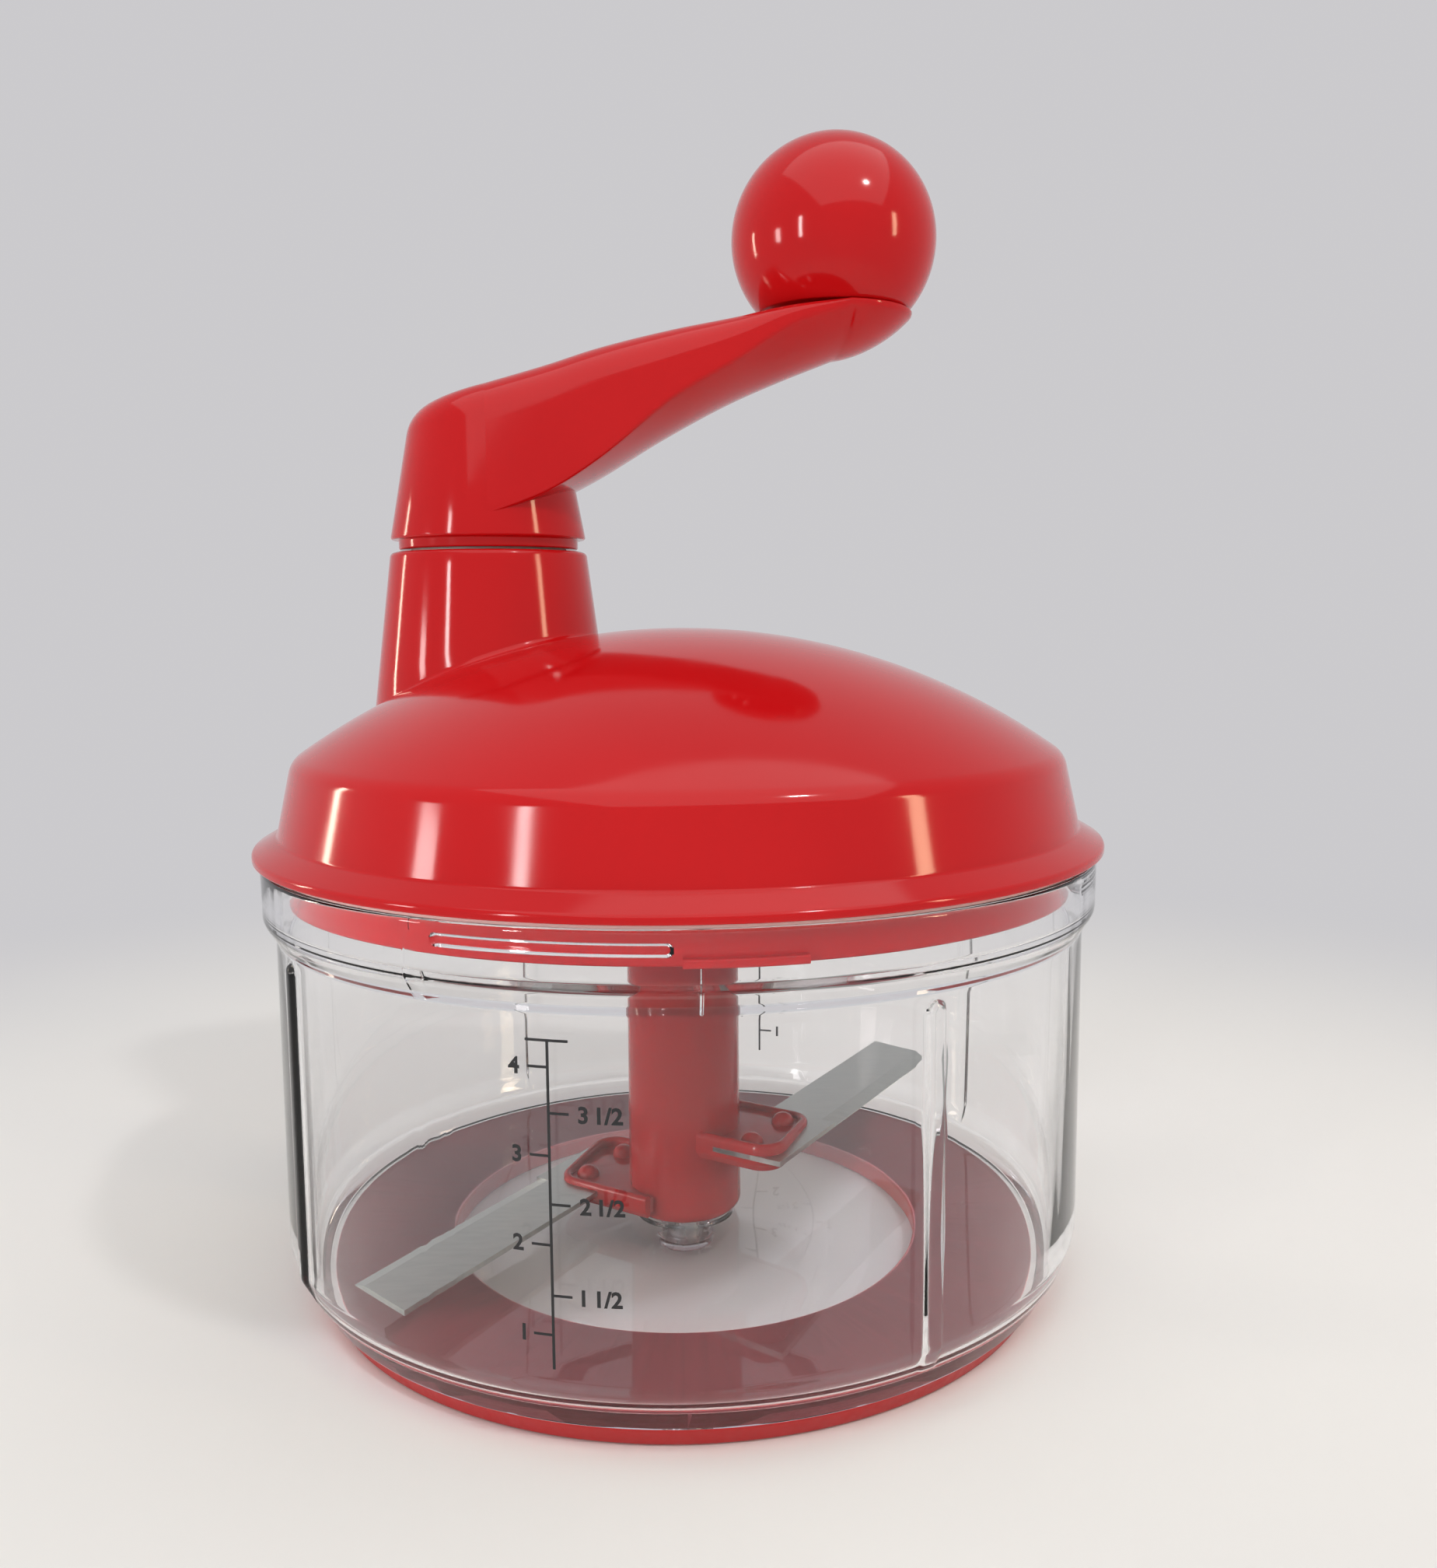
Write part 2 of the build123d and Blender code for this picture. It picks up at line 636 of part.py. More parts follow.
with BuildPart() as cover_shell:
    with BuildSketch(Plane.XZ):
        with BuildLine():
            Polyline(
                (0, skirt_bottom_z),
                (skirt_radius - 0.6, skirt_bottom_z),
                (skirt_radius, skirt_bottom_z + 0.6),
                (skirt_radius, flange_z),
                (flange_radius, flange_z),
                (flange_radius, flange_z + flange_lip),
                (dome_foot_radius, dome_foot_z),
                (shoulder_radius, shoulder_z),
            )
            RadiusArc((shoulder_radius, shoulder_z), (0, dome_top_z), -dome_rho)
            Line((0, dome_top_z), (0, skirt_bottom_z))
        make_face()
    revolve(axis=Axis.Z)
    shoulder_edge = cover_shell.edges().filter_by(GeomType.CIRCLE).sort_by(
        lambda edge: abs(edge.center().Z - shoulder_z) + abs(edge.radius - shoulder_radius)
    )[0]
    fillet(shoulder_edge, shoulder_fillet)
    with BuildSketch(Plane.XY.offset(turret_root_z)):
        with Locations((tx, ty)):
            Circle(turret_root_radius)
    extrude(amount=turret_top_z - turret_root_z, taper=turret_draft)
    # the turret meets the dome in the only edge that is neither a circle nor a straight line
    turret_foot = [
        edge
        for edge in cover_shell.edges()
        if edge.geom_type not in (GeomType.CIRCLE, GeomType.LINE)
    ]
    fillet(turret_foot, turret_foot_fillet)
    fillet(cover_shell.edges().group_by(Axis.Z)[-1], turret_edge)
    add(cover_hollow.part, mode=Mode.SUBTRACT)
    # bores: spindle bush, idler axle, output stub, plate screws
    with BuildSketch(Plane.XY.offset(turret_top_z - spindle_bush_length - 2.0)):
        with Locations((tx, ty)):
            Circle(spindle_bush_radius)
    extrude(amount=spindle_bush_length + 3.0, mode=Mode.SUBTRACT)
    with BuildSketch(Plane.XY.offset(bore_floor_z - 1.0)):
        with Locations((ix, iy)):
            Circle(idler_axle_radius)
    extrude(amount=idler_axle_end + 1.5, mode=Mode.SUBTRACT)
    with BuildSketch(Plane.XY.offset(bore_floor_z - 1.0)):
        Circle(output_stub_radius + running_gap)
    extrude(amount=output_stub_length + 1.0, mode=Mode.SUBTRACT)
    with BuildSketch(Plane.XY.offset(plate_top_z - 1.0)):
        for angle in plate_screw_angles:
            with PolarLocations(plate_screw_pitch_radius, 1, angle):
                Circle(plate_screw_radius)
    extrude(amount=plate_screw_length - plate_thickness + 2.0, mode=Mode.SUBTRACT)
    # bayonet lugs
    for turn in range(bayonet_count):
        with BuildSketch(upright(0, 0, lug_angle + turn * 360 / bayonet_count)):
            with Locations((skirt_radius - 0.7, skirt_bottom_z)):
                Rectangle(bayonet_depth + 0.7, lug_height, align=(Align.MIN, Align.MIN))
        revolve(axis=Axis.Z, revolution_arc=lug_arc)
cover_shell.part.label = "cover_shell"
export_step(cover_shell.part, "parts/cover_shell.step")

plate_radius = skirt_inner - plate_gap
spigot_radius = spindle_bore_radius - running_gap
output_bush_inner = output_journal_radius + running_gap
output_bush_outer = output_bush_inner + output_bush_wall
with BuildPart() as gear_plate:
    with BuildSketch(Plane.XY.offset(plate_z)):
        Circle(plate_radius)
    extrude(amount=plate_thickness)
    # spigot that centres the foot of the spindle, and the seat of the idler
    with BuildSketch(Plane.XY.offset(plate_top_z)):
        with Locations((tx, ty)):
            Circle(spigot_radius)
    extrude(amount=gear_gap + lower_face * 0.7)
    with BuildSketch(Plane.XY.offset(plate_top_z)):
        with Locations((tx, ty)):
            Circle(spigot_radius + boss_wall)
        with Locations((ix, iy)):
            Circle(idler_axle_radius + boss_wall)
    extrude(amount=gear_gap - thrust_gap)
    with BuildSketch(Plane.XY.offset(plate_z - 1.0)):
        with Locations((ix, iy)):
            Circle(idler_axle_radius)
        with Locations((0, 0)):
            Circle(output_bush_outer)
        for angle in plate_screw_angles:
            with PolarLocations(plate_screw_pitch_radius, 1, angle):
                Circle(plate_screw_radius)
    extrude(amount=plate_thickness + gear_gap + 2.0, mode=Mode.SUBTRACT)
gear_plate.part.label = "gear_plate"
export_step(gear_plate.part, "parts/gear_plate.step")

with BuildPart() as plate_screws:
    for angle in plate_screw_angles:
        with BuildSketch(Plane.XY.offset(plate_z)):
            with PolarLocations(plate_screw_pitch_radius, 1, angle):
                Circle(plate_screw_radius)
        extrude(amount=plate_screw_length)
        with BuildSketch(Plane.XY.offset(plate_z)):
            with PolarLocations(plate_screw_pitch_radius, 1, angle):
                Circle(plate_screw_head_radius)
        extrude(amount=-plate_screw_head, taper=20)
plate_screws.part.label = "plate_screws"
export_step(plate_screws.part, "parts/plate_screws.step")

with BuildPart() as spindle_bush:
    with BuildSketch(Plane.XY.offset(turret_top_z - spindle_bush_length)):
        with Locations((tx, ty)):
            Circle(spindle_bush_radius)
            Circle(spindle_radius + running_gap, mode=Mode.SUBTRACT)
    extrude(amount=spindle_bush_length)
spindle_bush.part.label = "spindle_bush"
export_step(spindle_bush.part, "parts/spindle_bush.step")

with BuildPart() as output_bush:
    with BuildSketch(Plane.XY.offset(plate_z - output_bush_drop)):
        Circle(output_bush_outer)
    extrude(amount=plate_thickness + output_bush_drop)
    with BuildSketch(Plane.XY.offset(plate_top_z)):
        Circle(output_bush_outer + bush_flange_width)
    extrude(amount=bush_flange)
    with BuildSketch(Plane.XY.offset(plate_z - output_bush_drop)):
        Circle(output_bush_inner)
    extrude(amount=plate_thickness + output_bush_drop + bush_flange, mode=Mode.SUBTRACT)
output_bush.part.label = "output_bush"
export_step(output_bush.part, "parts/output_bush.step")

with BuildPart() as idler_axle:
    with BuildSketch(Plane.XY.offset(plate_z)):
        with Locations((ix, iy)):
            Circle(idler_axle_radius)
    extrude(amount=bore_floor_z + idler_axle_end - plate_z)
idler_axle.part.label = "idler_axle"
export_step(idler_axle.part, "parts/idler_axle.step")

# ======== gears ========

to_idler = degrees(atan2(iy - ty, ix - tx))  # from the crank's axis
to_output = idler_angle + 180  # from the idler's axis

spindle_foot_z = lower_gear_z + lower_face
square_top_z = crank_foot_z + square_length
with BuildPart() as drive_gear:
    with BuildSketch(Plane(origin=(tx, ty, lower_gear_z))):
        with BuildLine():
            Polyline(*gear_points(drive_teeth, to_idler), close=True)
        make_face()
    extrude(amount=lower_face)
    # the wheel is thinned between its rim and its hub
    with BuildSketch(Plane.XY.offset(spindle_foot_z)):
        with Locations((tx, ty)):
            Circle(drive_pitch - rim_thickness)
            Circle(spindle_radius + boss_wall, mode=Mode.SUBTRACT)
    extrude(amount=-web_recess, mode=Mode.SUBTRACT)
    # shoulder under the bush, spindle up to the crank, square inside the crank
    with BuildSketch(Plane.XY.offset(spindle_foot_z)):
        with Locations((tx, ty)):
            Circle(spindle_radius + bush_wall)
    extrude(amount=turret_top_z - spindle_bush_length - thrust_gap - spindle_foot_z)
    with BuildSketch(Plane.XY.offset(spindle_foot_z)):
        with Locations((tx, ty)):
            Circle(spindle_radius)
    extrude(amount=crank_foot_z - spindle_foot_z)
    with BuildSketch(Plane.XY.offset(crank_foot_z)):
        with Locations((tx, ty)):
            Rectangle(square_size, square_size, rotation=crank_angle)
    extrude(amount=square_length)
    with BuildSketch(Plane.XY.offset(lower_gear_z)):
        with Locations((tx, ty)):
            Circle(spindle_bore_radius)
    extrude(amount=square_top_z - spindle_end - lower_gear_z, mode=Mode.SUBTRACT)
    with BuildSketch(Plane.XY.offset(lower_gear_z)):
        with Locations((tx, ty)):
            Circle(crank_screw_radius + screw_gap)
    extrude(amount=square_top_z - lower_gear_z, mode=Mode.SUBTRACT)
drive_gear.part.label = "drive_gear"
export_step(drive_gear.part, "parts/drive_gear.step")

with BuildPart() as idler_gear:
    with BuildSketch(Plane(origin=(ix, iy, lower_gear_z))):
        with BuildLine():
            Polyline(
                *gear_points(idler_small_teeth, to_idler + 180 + 180 / idler_small_teeth),
                close=True,
            )
        make_face()
    extrude(amount=lower_face)
    with BuildSketch(Plane.XY.offset(lower_gear_z + lower_face)):
        with Locations((ix, iy)):
            Circle(idler_small_pitch - tooth_dedendum * module)
    extrude(amount=gear_gap)
    with BuildSketch(Plane(origin=(ix, iy, upper_gear_z))):
        with BuildLine():
            Polyline(*gear_points(idler_large_teeth, to_output), close=True)
        make_face()
    extrude(amount=upper_face)
    with BuildSketch(Plane.XY.offset(idler_top_z)):
        with Locations((ix, iy)):
            Circle(idler_large_pitch - rim_thickness)
            Circle(idler_axle_radius + boss_wall, mode=Mode.SUBTRACT)
    extrude(amount=-web_recess, mode=Mode.SUBTRACT)
    with BuildSketch(Plane.XY.offset(lower_gear_z)):
        with Locations((ix, iy)):
            Circle(idler_axle_radius + running_gap)
    extrude(amount=idler_top_z - lower_gear_z, mode=Mode.SUBTRACT)
idler_gear.part.label = "idler_gear"
export_step(idler_gear.part, "parts/idler_gear.step")

bush_top_z = plate_top_z + bush_flange
socket_radius = dog_radius + socket_gap
socket_core_radius = dog_core_radius + socket_gap
socket_top_z = dog_foot_z + dog_height + 1.0 + socket_gap
socket_arc = dog_arc + 2 * dog_side_gap + twist_angle  # free width round each dog
with BuildPart() as output_gear:
    with BuildSketch(Plane.XY.offset(socket_bottom_z)):
        Circle(output_journal_radius)
    extrude(amount=upper_gear_z - gear_gap / 2 - socket_bottom_z)
    with BuildSketch(Plane.XY.offset(bush_top_z + thrust_gap)):
        Circle(output_shoulder_radius)
    extrude(amount=output_shoulder)
    with BuildSketch(Plane.XY.offset(upper_gear_z - gear_gap / 2)):
        with BuildLine():
            Polyline(*gear_points(output_teeth, to_output + 180 + 180 / output_teeth), close=True)
        make_face()
    extrude(amount=upper_face + gear_gap / 2)
    with BuildSketch(Plane.XY.offset(idler_top_z)):
        Circle(output_stub_radius)
    extrude(amount=output_stub_length)
    # socket: a core bore, and a wider slot that lets each dog lag by the twist of the cover
    with BuildSketch(Plane.XY.offset(socket_bottom_z)):
        Circle(socket_core_radius)
    extrude(amount=socket_top_z - socket_bottom_z, mode=Mode.SUBTRACT)
    for dog in range(dog_count):
        clockwise_side = dog * 360 / dog_count - dog_arc / 2 - dog_side_gap
        with BuildSketch(upright(0, 0, clockwise_side)):
            with Locations((socket_core_radius - 0.5, socket_bottom_z)):
                Rectangle(
                    socket_radius - socket_core_radius + 0.5,
                    socket_top_z - socket_bottom_z,
                    align=(Align.MIN, Align.MIN),
                )
        revolve(axis=Axis.Z, revolution_arc=socket_arc, mode=Mode.SUBTRACT)
output_gear.part.label = "output_gear"
export_step(output_gear.part, "parts/output_gear.step")

# ======== crank ========

with BuildPart() as crank_washer:
    with BuildSketch(Plane.XY.offset(turret_top_z)):
        with Locations((tx, ty)):
            Circle(neck_radius - 1.0)
            Circle(spindle_radius + running_gap, mode=Mode.SUBTRACT)
    extrude(amount=washer_thickness)
crank_washer.part.label = "crank_washer"
export_step(crank_washer.part, "parts/crank_washer.step")


def across_arm(share):
    """The plane that cuts the arm square at a share of its length; its y axis is up."""
    a = radians(crank_angle)
    reach = crank_length * share
    return Plane(
        origin=(tx + reach * cos(a), ty + reach * sin(a), 0),
        x_dir=(-sin(a), cos(a), 0),
        z_dir=(cos(a), sin(a), 0),
    )


hub_taper = tan(radians(hub_draft))


def arm_section(station):
    """Named heights and widths of one section of the arm, from its row of arm_stations."""
    share, edge, keel, top, corner = station
    edge_z = hub_foot_z + edge * arm_rise
    keel_z = hub_foot_z + keel * arm_rise
    top_z = hub_foot_z + top * arm_rise
    hub_width = hub_radius - hub_taper * edge * arm_rise
    half = hub_width + (cup_radius - hub_width) * share
    top_half = half - hub_taper * (top_z - edge_z) * (1 - share)
    return half, top_half, edge_z, keel_z, top_z, corner


with BuildPart() as arm_body:
    for station in arm_stations:
        half, top_half, edge_z, keel_z, top_z, corner = arm_section(station)
        with BuildSketch(across_arm(station[0])):
            with BuildLine():
                ThreePointArc((-half, edge_z), (0, keel_z), (half, edge_z))
                Line((half, edge_z), (top_half, top_z - corner))
                CenterArc((top_half - corner, top_z - corner), corner, 0, 90)
                Line((top_half - corner, top_z), (corner - top_half, top_z))
                CenterArc((corner - top_half, top_z - corner), corner, 90, 90)
                Line((-top_half, top_z - corner), (-half, edge_z))
            make_face()
    loft()
    # the far half of the cup is the last section turned about the knob's axis
    half, top_half, edge_z, keel_z, top_z, corner = arm_section(arm_stations[-1])
    cup_rho = (half**2 + (edge_z - keel_z) ** 2) / (2 * (edge_z - keel_z))
    half_sweep = asin(half / cup_rho) / 2
    with BuildSketch(across_arm(1)):
        with BuildLine():
            ThreePointArc(
                (half, edge_z),
                (cup_rho * sin(half_sweep), keel_z + cup_rho * (1 - cos(half_sweep))),
                (0, keel_z),
            )
            Polyline((0, keel_z), (0, top_z), (top_half - corner, top_z))
            CenterArc((top_half - corner, top_z - corner), corner, 0, 90)
            Line((top_half, top_z - corner), (half, edge_z))
        make_face()
    revolve(axis=knob_axis, revolution_arc=-180)
# the hub: a drafted drum with a slanting top, on a narrower neck
with BuildPart() as crank_hub:
    with BuildSketch(upright(tx, ty)):
        with BuildLine():
            Polyline(
                (0, crank_foot_z),
                (neck_radius, crank_foot_z),
                (neck_radius, hub_foot_z),
                (hub_radius - 0.4, hub_foot_z),
                (hub_radius, hub_foot_z + 0.4),
                (hub_radius - hub_taper * arm_rise, seam_z),
                (0, seam_z),
                close=True,
            )
        make_face()
    revolve(axis=turret_axis)
    hub_top = Plane(
        origin=(tx, ty, hub_foot_z + arm_stations[0][3] * arm_rise),
        x_dir=(cos(radians(crank_angle)), sin(radians(crank_angle)), sin(radians(hub_slope))),
        z_dir=(
            -sin(radians(hub_slope)) * cos(radians(crank_angle)),
            -sin(radians(hub_slope)) * sin(radians(crank_angle)),
            cos(radians(hub_slope)),
        ),
    )
    split(bisect_by=hub_top, keep=Keep.BOTTOM)
    fillet(crank_hub.faces().sort_by(Axis.Z)[-1].edges(), hub_edge)

socket_size = square_size + 2 * square_gap
with BuildPart() as crank_arm:
    add(arm_body.part)
    add(crank_hub.part)
    # square socket for the spindle, pilot hole of the crank screw, hole of the knob's axle
    with BuildSketch(Plane.XY.offset(crank_foot_z)):
        with Locations((tx, ty)):
            Rectangle(socket_size, socket_size, rotation=crank_angle)
    extrude(amount=square_length + square_gap, mode=Mode.SUBTRACT)
    with BuildSketch(Plane.XY.offset(crank_foot_z)):
        with Locations((tx, ty)):
            Circle(crank_screw_radius)
    extrude(amount=square_length + crank_screw_grip + 0.5, mode=Mode.SUBTRACT)
    with BuildSketch(Plane.XY.offset(seam_z + knob_seat_height)):
        with Locations((kx, ky)):
            Circle(knob_seat_radius)
    extrude(amount=-knob_seat_height - 1.5)
    with BuildSketch(Plane.XY.offset(seam_z + knob_seat_height)):
        with Locations((kx, ky)):
            Circle(knob_axle_radius)
    extrude(amount=-knob_seat_height - knob_axle_sink, mode=Mode.SUBTRACT)
crank_arm.part.label = "crank_arm"
export_step(crank_arm.part, "parts/crank_arm.step")

screw_foot_z = square_top_z - spindle_end - crank_screw_head
with BuildPart() as crank_screw:
    with BuildSketch(Plane.XY.offset(screw_foot_z)):
        with Locations((tx, ty)):
            Circle(crank_screw_head_radius)
    extrude(amount=crank_screw_head)
    fillet(crank_screw.edges().group_by(Axis.Z)[0], 0.8)
    with BuildSketch(Plane.XY.offset(screw_foot_z + crank_screw_head)):
        with Locations((tx, ty)):
            Circle(crank_screw_radius)
    extrude(amount=spindle_end + crank_screw_grip)
    with BuildSketch(Plane.XY.offset(screw_foot_z)):
        with Locations((tx, ty)):
            RegularPolygon(2.0, 6)
    extrude(amount=crank_screw_head * 0.7, mode=Mode.SUBTRACT)
crank_screw.part.label = "crank_screw"
export_step(crank_screw.part, "parts/crank_screw.step")

# ======== knob ========

sleeve_inner = knob_axle_radius + running_gap
sleeve_outer = sleeve_inner + knob_sleeve_wall
sleeve_top_z = knob_foot_z + knob_sleeve_length
with BuildPart() as knob_axle:
    with BuildSketch(Plane.XY.offset(seam_z - knob_axle_sink)):
        with Locations((kx, ky)):
            Circle(knob_axle_radius)
    extrude(amount=sleeve_top_z + thrust_gap - seam_z + knob_axle_sink)
    with BuildSketch(Plane.XY.offset(sleeve_top_z + thrust_gap)):
        with Locations((kx, ky)):
            Circle(knob_axle_head_radius)
    extrude(amount=knob_axle_head)
knob_axle.part.label = "knob_axle"
export_step(knob_axle.part, "parts/knob_axle.step")

with BuildPart() as knob_sleeve:
    with BuildSketch(Plane.XY.offset(knob_foot_z)):
        with Locations((kx, ky)):
            Circle(sleeve_outer)
            Circle(sleeve_inner, mode=Mode.SUBTRACT)
    extrude(amount=knob_sleeve_length)
knob_sleeve.part.label = "knob_sleeve"
export_step(knob_sleeve.part, "parts/knob_sleeve.step")

# the knob is a hollow ball, open below round a middle tube
knob_pocket_z = sleeve_top_z + thrust_gap + knob_axle_head + 1.0
knob_tube_radius = sleeve_outer + knob_boss_wall
with BuildPart() as knob:
    with BuildSketch(upright(kx, ky)):
        with Locations((0, knob_centre_z)):
            Circle(knob_radius)
            Circle(knob_radius - knob_wall, mode=Mode.SUBTRACT)
            Rectangle(2 * knob_tube_radius, 2 * (knob_radius - 1.3 * knob_wall))
        with Locations((0, knob_pocket_z)):
            Rectangle(
                2 * sleeve_outer,
                2 * knob_radius,
                align=(Align.CENTER, Align.MAX),
                mode=Mode.SUBTRACT,
            )
        with Locations((0, knob_foot_z)):
            Rectangle(
                4 * knob_radius,
                2 * knob_radius,
                align=(Align.CENTER, Align.MAX),
                mode=Mode.SUBTRACT,
            )
        with Locations((0, knob_centre_z)):
            Rectangle(
                2 * knob_radius,
                4 * knob_radius,
                align=(Align.MAX, Align.CENTER),
                mode=Mode.SUBTRACT,
            )
    revolve(axis=knob_axis)
knob.part.label = "knob"
export_step(knob.part, "parts/knob.step")
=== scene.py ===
import bpy
import json
import numpy as np
from math import radians
from mathutils import Matrix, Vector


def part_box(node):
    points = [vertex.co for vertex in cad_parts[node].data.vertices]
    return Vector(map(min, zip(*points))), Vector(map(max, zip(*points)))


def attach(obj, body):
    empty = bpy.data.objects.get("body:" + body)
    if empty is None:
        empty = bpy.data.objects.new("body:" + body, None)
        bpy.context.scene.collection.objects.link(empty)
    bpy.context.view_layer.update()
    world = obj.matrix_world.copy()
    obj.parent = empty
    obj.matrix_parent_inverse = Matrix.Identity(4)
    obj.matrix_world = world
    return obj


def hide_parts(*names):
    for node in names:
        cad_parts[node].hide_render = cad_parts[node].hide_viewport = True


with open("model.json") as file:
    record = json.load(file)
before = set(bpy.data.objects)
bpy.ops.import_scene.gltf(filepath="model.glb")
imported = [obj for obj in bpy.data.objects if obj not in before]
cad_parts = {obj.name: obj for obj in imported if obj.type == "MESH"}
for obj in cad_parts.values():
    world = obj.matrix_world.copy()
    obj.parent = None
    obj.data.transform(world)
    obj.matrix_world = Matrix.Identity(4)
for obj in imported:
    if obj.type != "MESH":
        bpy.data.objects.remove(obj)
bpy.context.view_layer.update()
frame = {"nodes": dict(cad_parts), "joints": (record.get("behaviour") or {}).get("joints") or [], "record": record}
nodes = frame["nodes"]
jointPlace = {j["name"]: np.array(j.get("pos_m", (0.0, 0.0, 0.0))) for j in frame["joints"]}
pi = np.pi
weld = 1e-8  # corners nearer than this become one


def addObject(name, data):
    made = bpy.data.objects.new(name, data)
    bpy.context.scene.collection.objects.link(made)
    return made


def cornersOf(mesh):
    points = np.zeros(len(mesh.vertices) * 3, np.float32)
    mesh.vertices.foreach_get("co", points)
    return points.reshape(-1, 3)


def meshPiece(name, points, loops, sizes, sharp=35.0):
    # points are the corners, loops the faces' corner numbers in a row, sizes how many of them each face takes
    mesh = bpy.data.meshes.new(name)
    mesh.vertices.add(len(points))
    mesh.vertices.foreach_set("co", points.astype(np.float32).ravel())
    mesh.loops.add(len(loops))
    mesh.loops.foreach_set("vertex_index", loops.astype(np.int32))
    starts = np.concatenate([[0], np.cumsum(sizes)[:-1]])
    mesh.polygons.add(len(sizes))
    mesh.polygons.foreach_set("loop_start", starts.astype(np.int32))
    mesh.update(calc_edges=True)
    mesh.validate()
    mesh.polygons.foreach_set("use_smooth", np.ones(len(mesh.polygons), bool))
    mesh.set_sharp_from_angle(angle=radians(sharp))
    return addObject(name, mesh)


def gridMesh(name, points, sharp=35.0):
    # points[row, column] is a position; neighbours are joined by quads, and doubled rims and poles are merged
    rows, columns = points.shape[:2]
    index = np.arange(rows * columns).reshape(rows, columns)
    quads = np.stack([index[:-1, :-1], index[:-1, 1:], index[1:, 1:], index[1:, :-1]], axis=-1).reshape(-1, 4)
    points = points.reshape(-1, 3)
    key = np.round(points / weld).astype(np.int64)
    _, first, same = np.unique(key, axis=0, return_index=True, return_inverse=True)
    points, quads = points[first], same.reshape(-1)[quads]
    # a quad with one doubled corner becomes a triangle, and one with more goes
    doubled = quads == np.roll(quads, 1, axis=1)
    thin = quads[doubled.sum(axis=1) == 1]
    triangles = thin[~(thin == np.roll(thin, 1, axis=1))].reshape(-1, 3)
    quads = quads[~doubled.any(axis=1)]
    # the sum of each corner's position times its face's area vector is positive when faces point outwards
    corners = np.concatenate([quads[:, [0, 1, 2]], quads[:, [0, 2, 3]], triangles])
    a, b, c = points[corners[:, 0]], points[corners[:, 1]], points[corners[:, 2]]
    if np.einsum("ij,ij->i", a, np.cross(b, c)).sum() < 0:
        quads, triangles = quads[:, ::-1], triangles[:, ::-1]
    loops = np.concatenate([quads.ravel(), triangles.ravel()])
    sizes = np.repeat([4, 3], [len(quads), len(triangles)])
    return meshPiece(name, points, loops, sizes, sharp)


def joined(name, *pieces):
    # several closed surfaces become one piece
    points, loops, sizes = [], [], []
    shift = 0
    for piece in pieces:
        mesh = piece.data
        corners = np.zeros(len(mesh.loops), np.int32)
        mesh.loops.foreach_get("vertex_index", corners)
        counts = np.zeros(len(mesh.polygons), np.int32)
        mesh.polygons.foreach_get("loop_total", counts)
        points.append(cornersOf(mesh))
        loops.append(corners + shift)
        sizes.append(counts)
        shift += len(mesh.vertices)
        bpy.data.objects.remove(piece)
    return meshPiece(name, np.concatenate(points), np.concatenate(loops), np.concatenate(sizes))


def arcBetween(start, end, sweep, share):
    # the arrow start turned towards end, which is the angle sweep away
    return (np.sin((1 - share) * sweep) * start + np.sin(share * sweep) * end) / np.sin(sweep)


def fullTurn(steps):
    # angles once round; the last is the first again
    turn = np.linspace(0, 2 * pi, steps + 1)
    turn[-1] = 0.0
    return turn


def roundAxis(radius, turn, height, axis=(0.0, 0.0)):
    # positions at a radius and an angle round an upright axis
    east, north = axis[0] + radius * np.cos(turn), axis[1] + radius * np.sin(turn)
    return np.stack([east, north, np.broadcast_to(height, east.shape)], axis=-1)


def withEnds(grid):
    # a bar's two open ends are closed towards the middle of their sections
    middle = grid.mean(axis=1, keepdims=True)
    first, last = (np.repeat(end, grid.shape[1], axis=1) for end in (middle[:1], middle[-1:]))
    return np.concatenate([first, grid, last])


def roundedPath(corners, steps=6, most=0.98):
    # corners are (x, z, radius): each is replaced by the arc of that radius that touches both its lines;
    # an arc takes at most the share most of a line
    corners = np.array(corners, float)
    path = [corners[:1, :2]]
    for before, here, after in zip(corners[:-2], corners[1:-1], corners[2:]):
        radius = here[2]
        if radius <= 0:
            path.append(here[None, :2])
            continue
        inward = before[:2] - here[:2]
        outward = after[:2] - here[:2]
        roomIn, roomOut = np.linalg.norm(inward), np.linalg.norm(outward)
        inward, outward = inward / roomIn, outward / roomOut
        halfAngle = np.arccos(np.clip(inward @ outward, -1, 1)) / 2
        reach = min(radius / np.tan(halfAngle), roomIn * most, roomOut * most)
        radius = reach * np.tan(halfAngle)
        middle = here[:2] + (inward + outward) / np.linalg.norm(inward + outward) * radius / np.sin(halfAngle)
        start = here[:2] + inward * reach - middle
        end = here[:2] + outward * reach - middle
        sweep = pi - 2 * halfAngle
        share = np.linspace(0, 1, steps + 1)[:, None]
        path.append(middle + arcBetween(start, end, sweep, share))
    path.append(corners[-1:, :2])
    return np.concatenate(path)


def arcPoints(middle, radius, fromDeg, toDeg, steps):
    turn = np.radians(np.linspace(fromDeg, toDeg, steps))
    return np.stack([middle[0] + radius * np.cos(turn), middle[1] + radius * np.sin(turn)], axis=1)


def revolve(name, profile, axis=(0.0, 0.0), count=192, sharp=35.0):
    # a profile of (radius, height) carried round an upright axis
    return gridMesh(name, roundAxis(profile[:, :1], fullTurn(count), profile[:, 1:], axis), sharp)


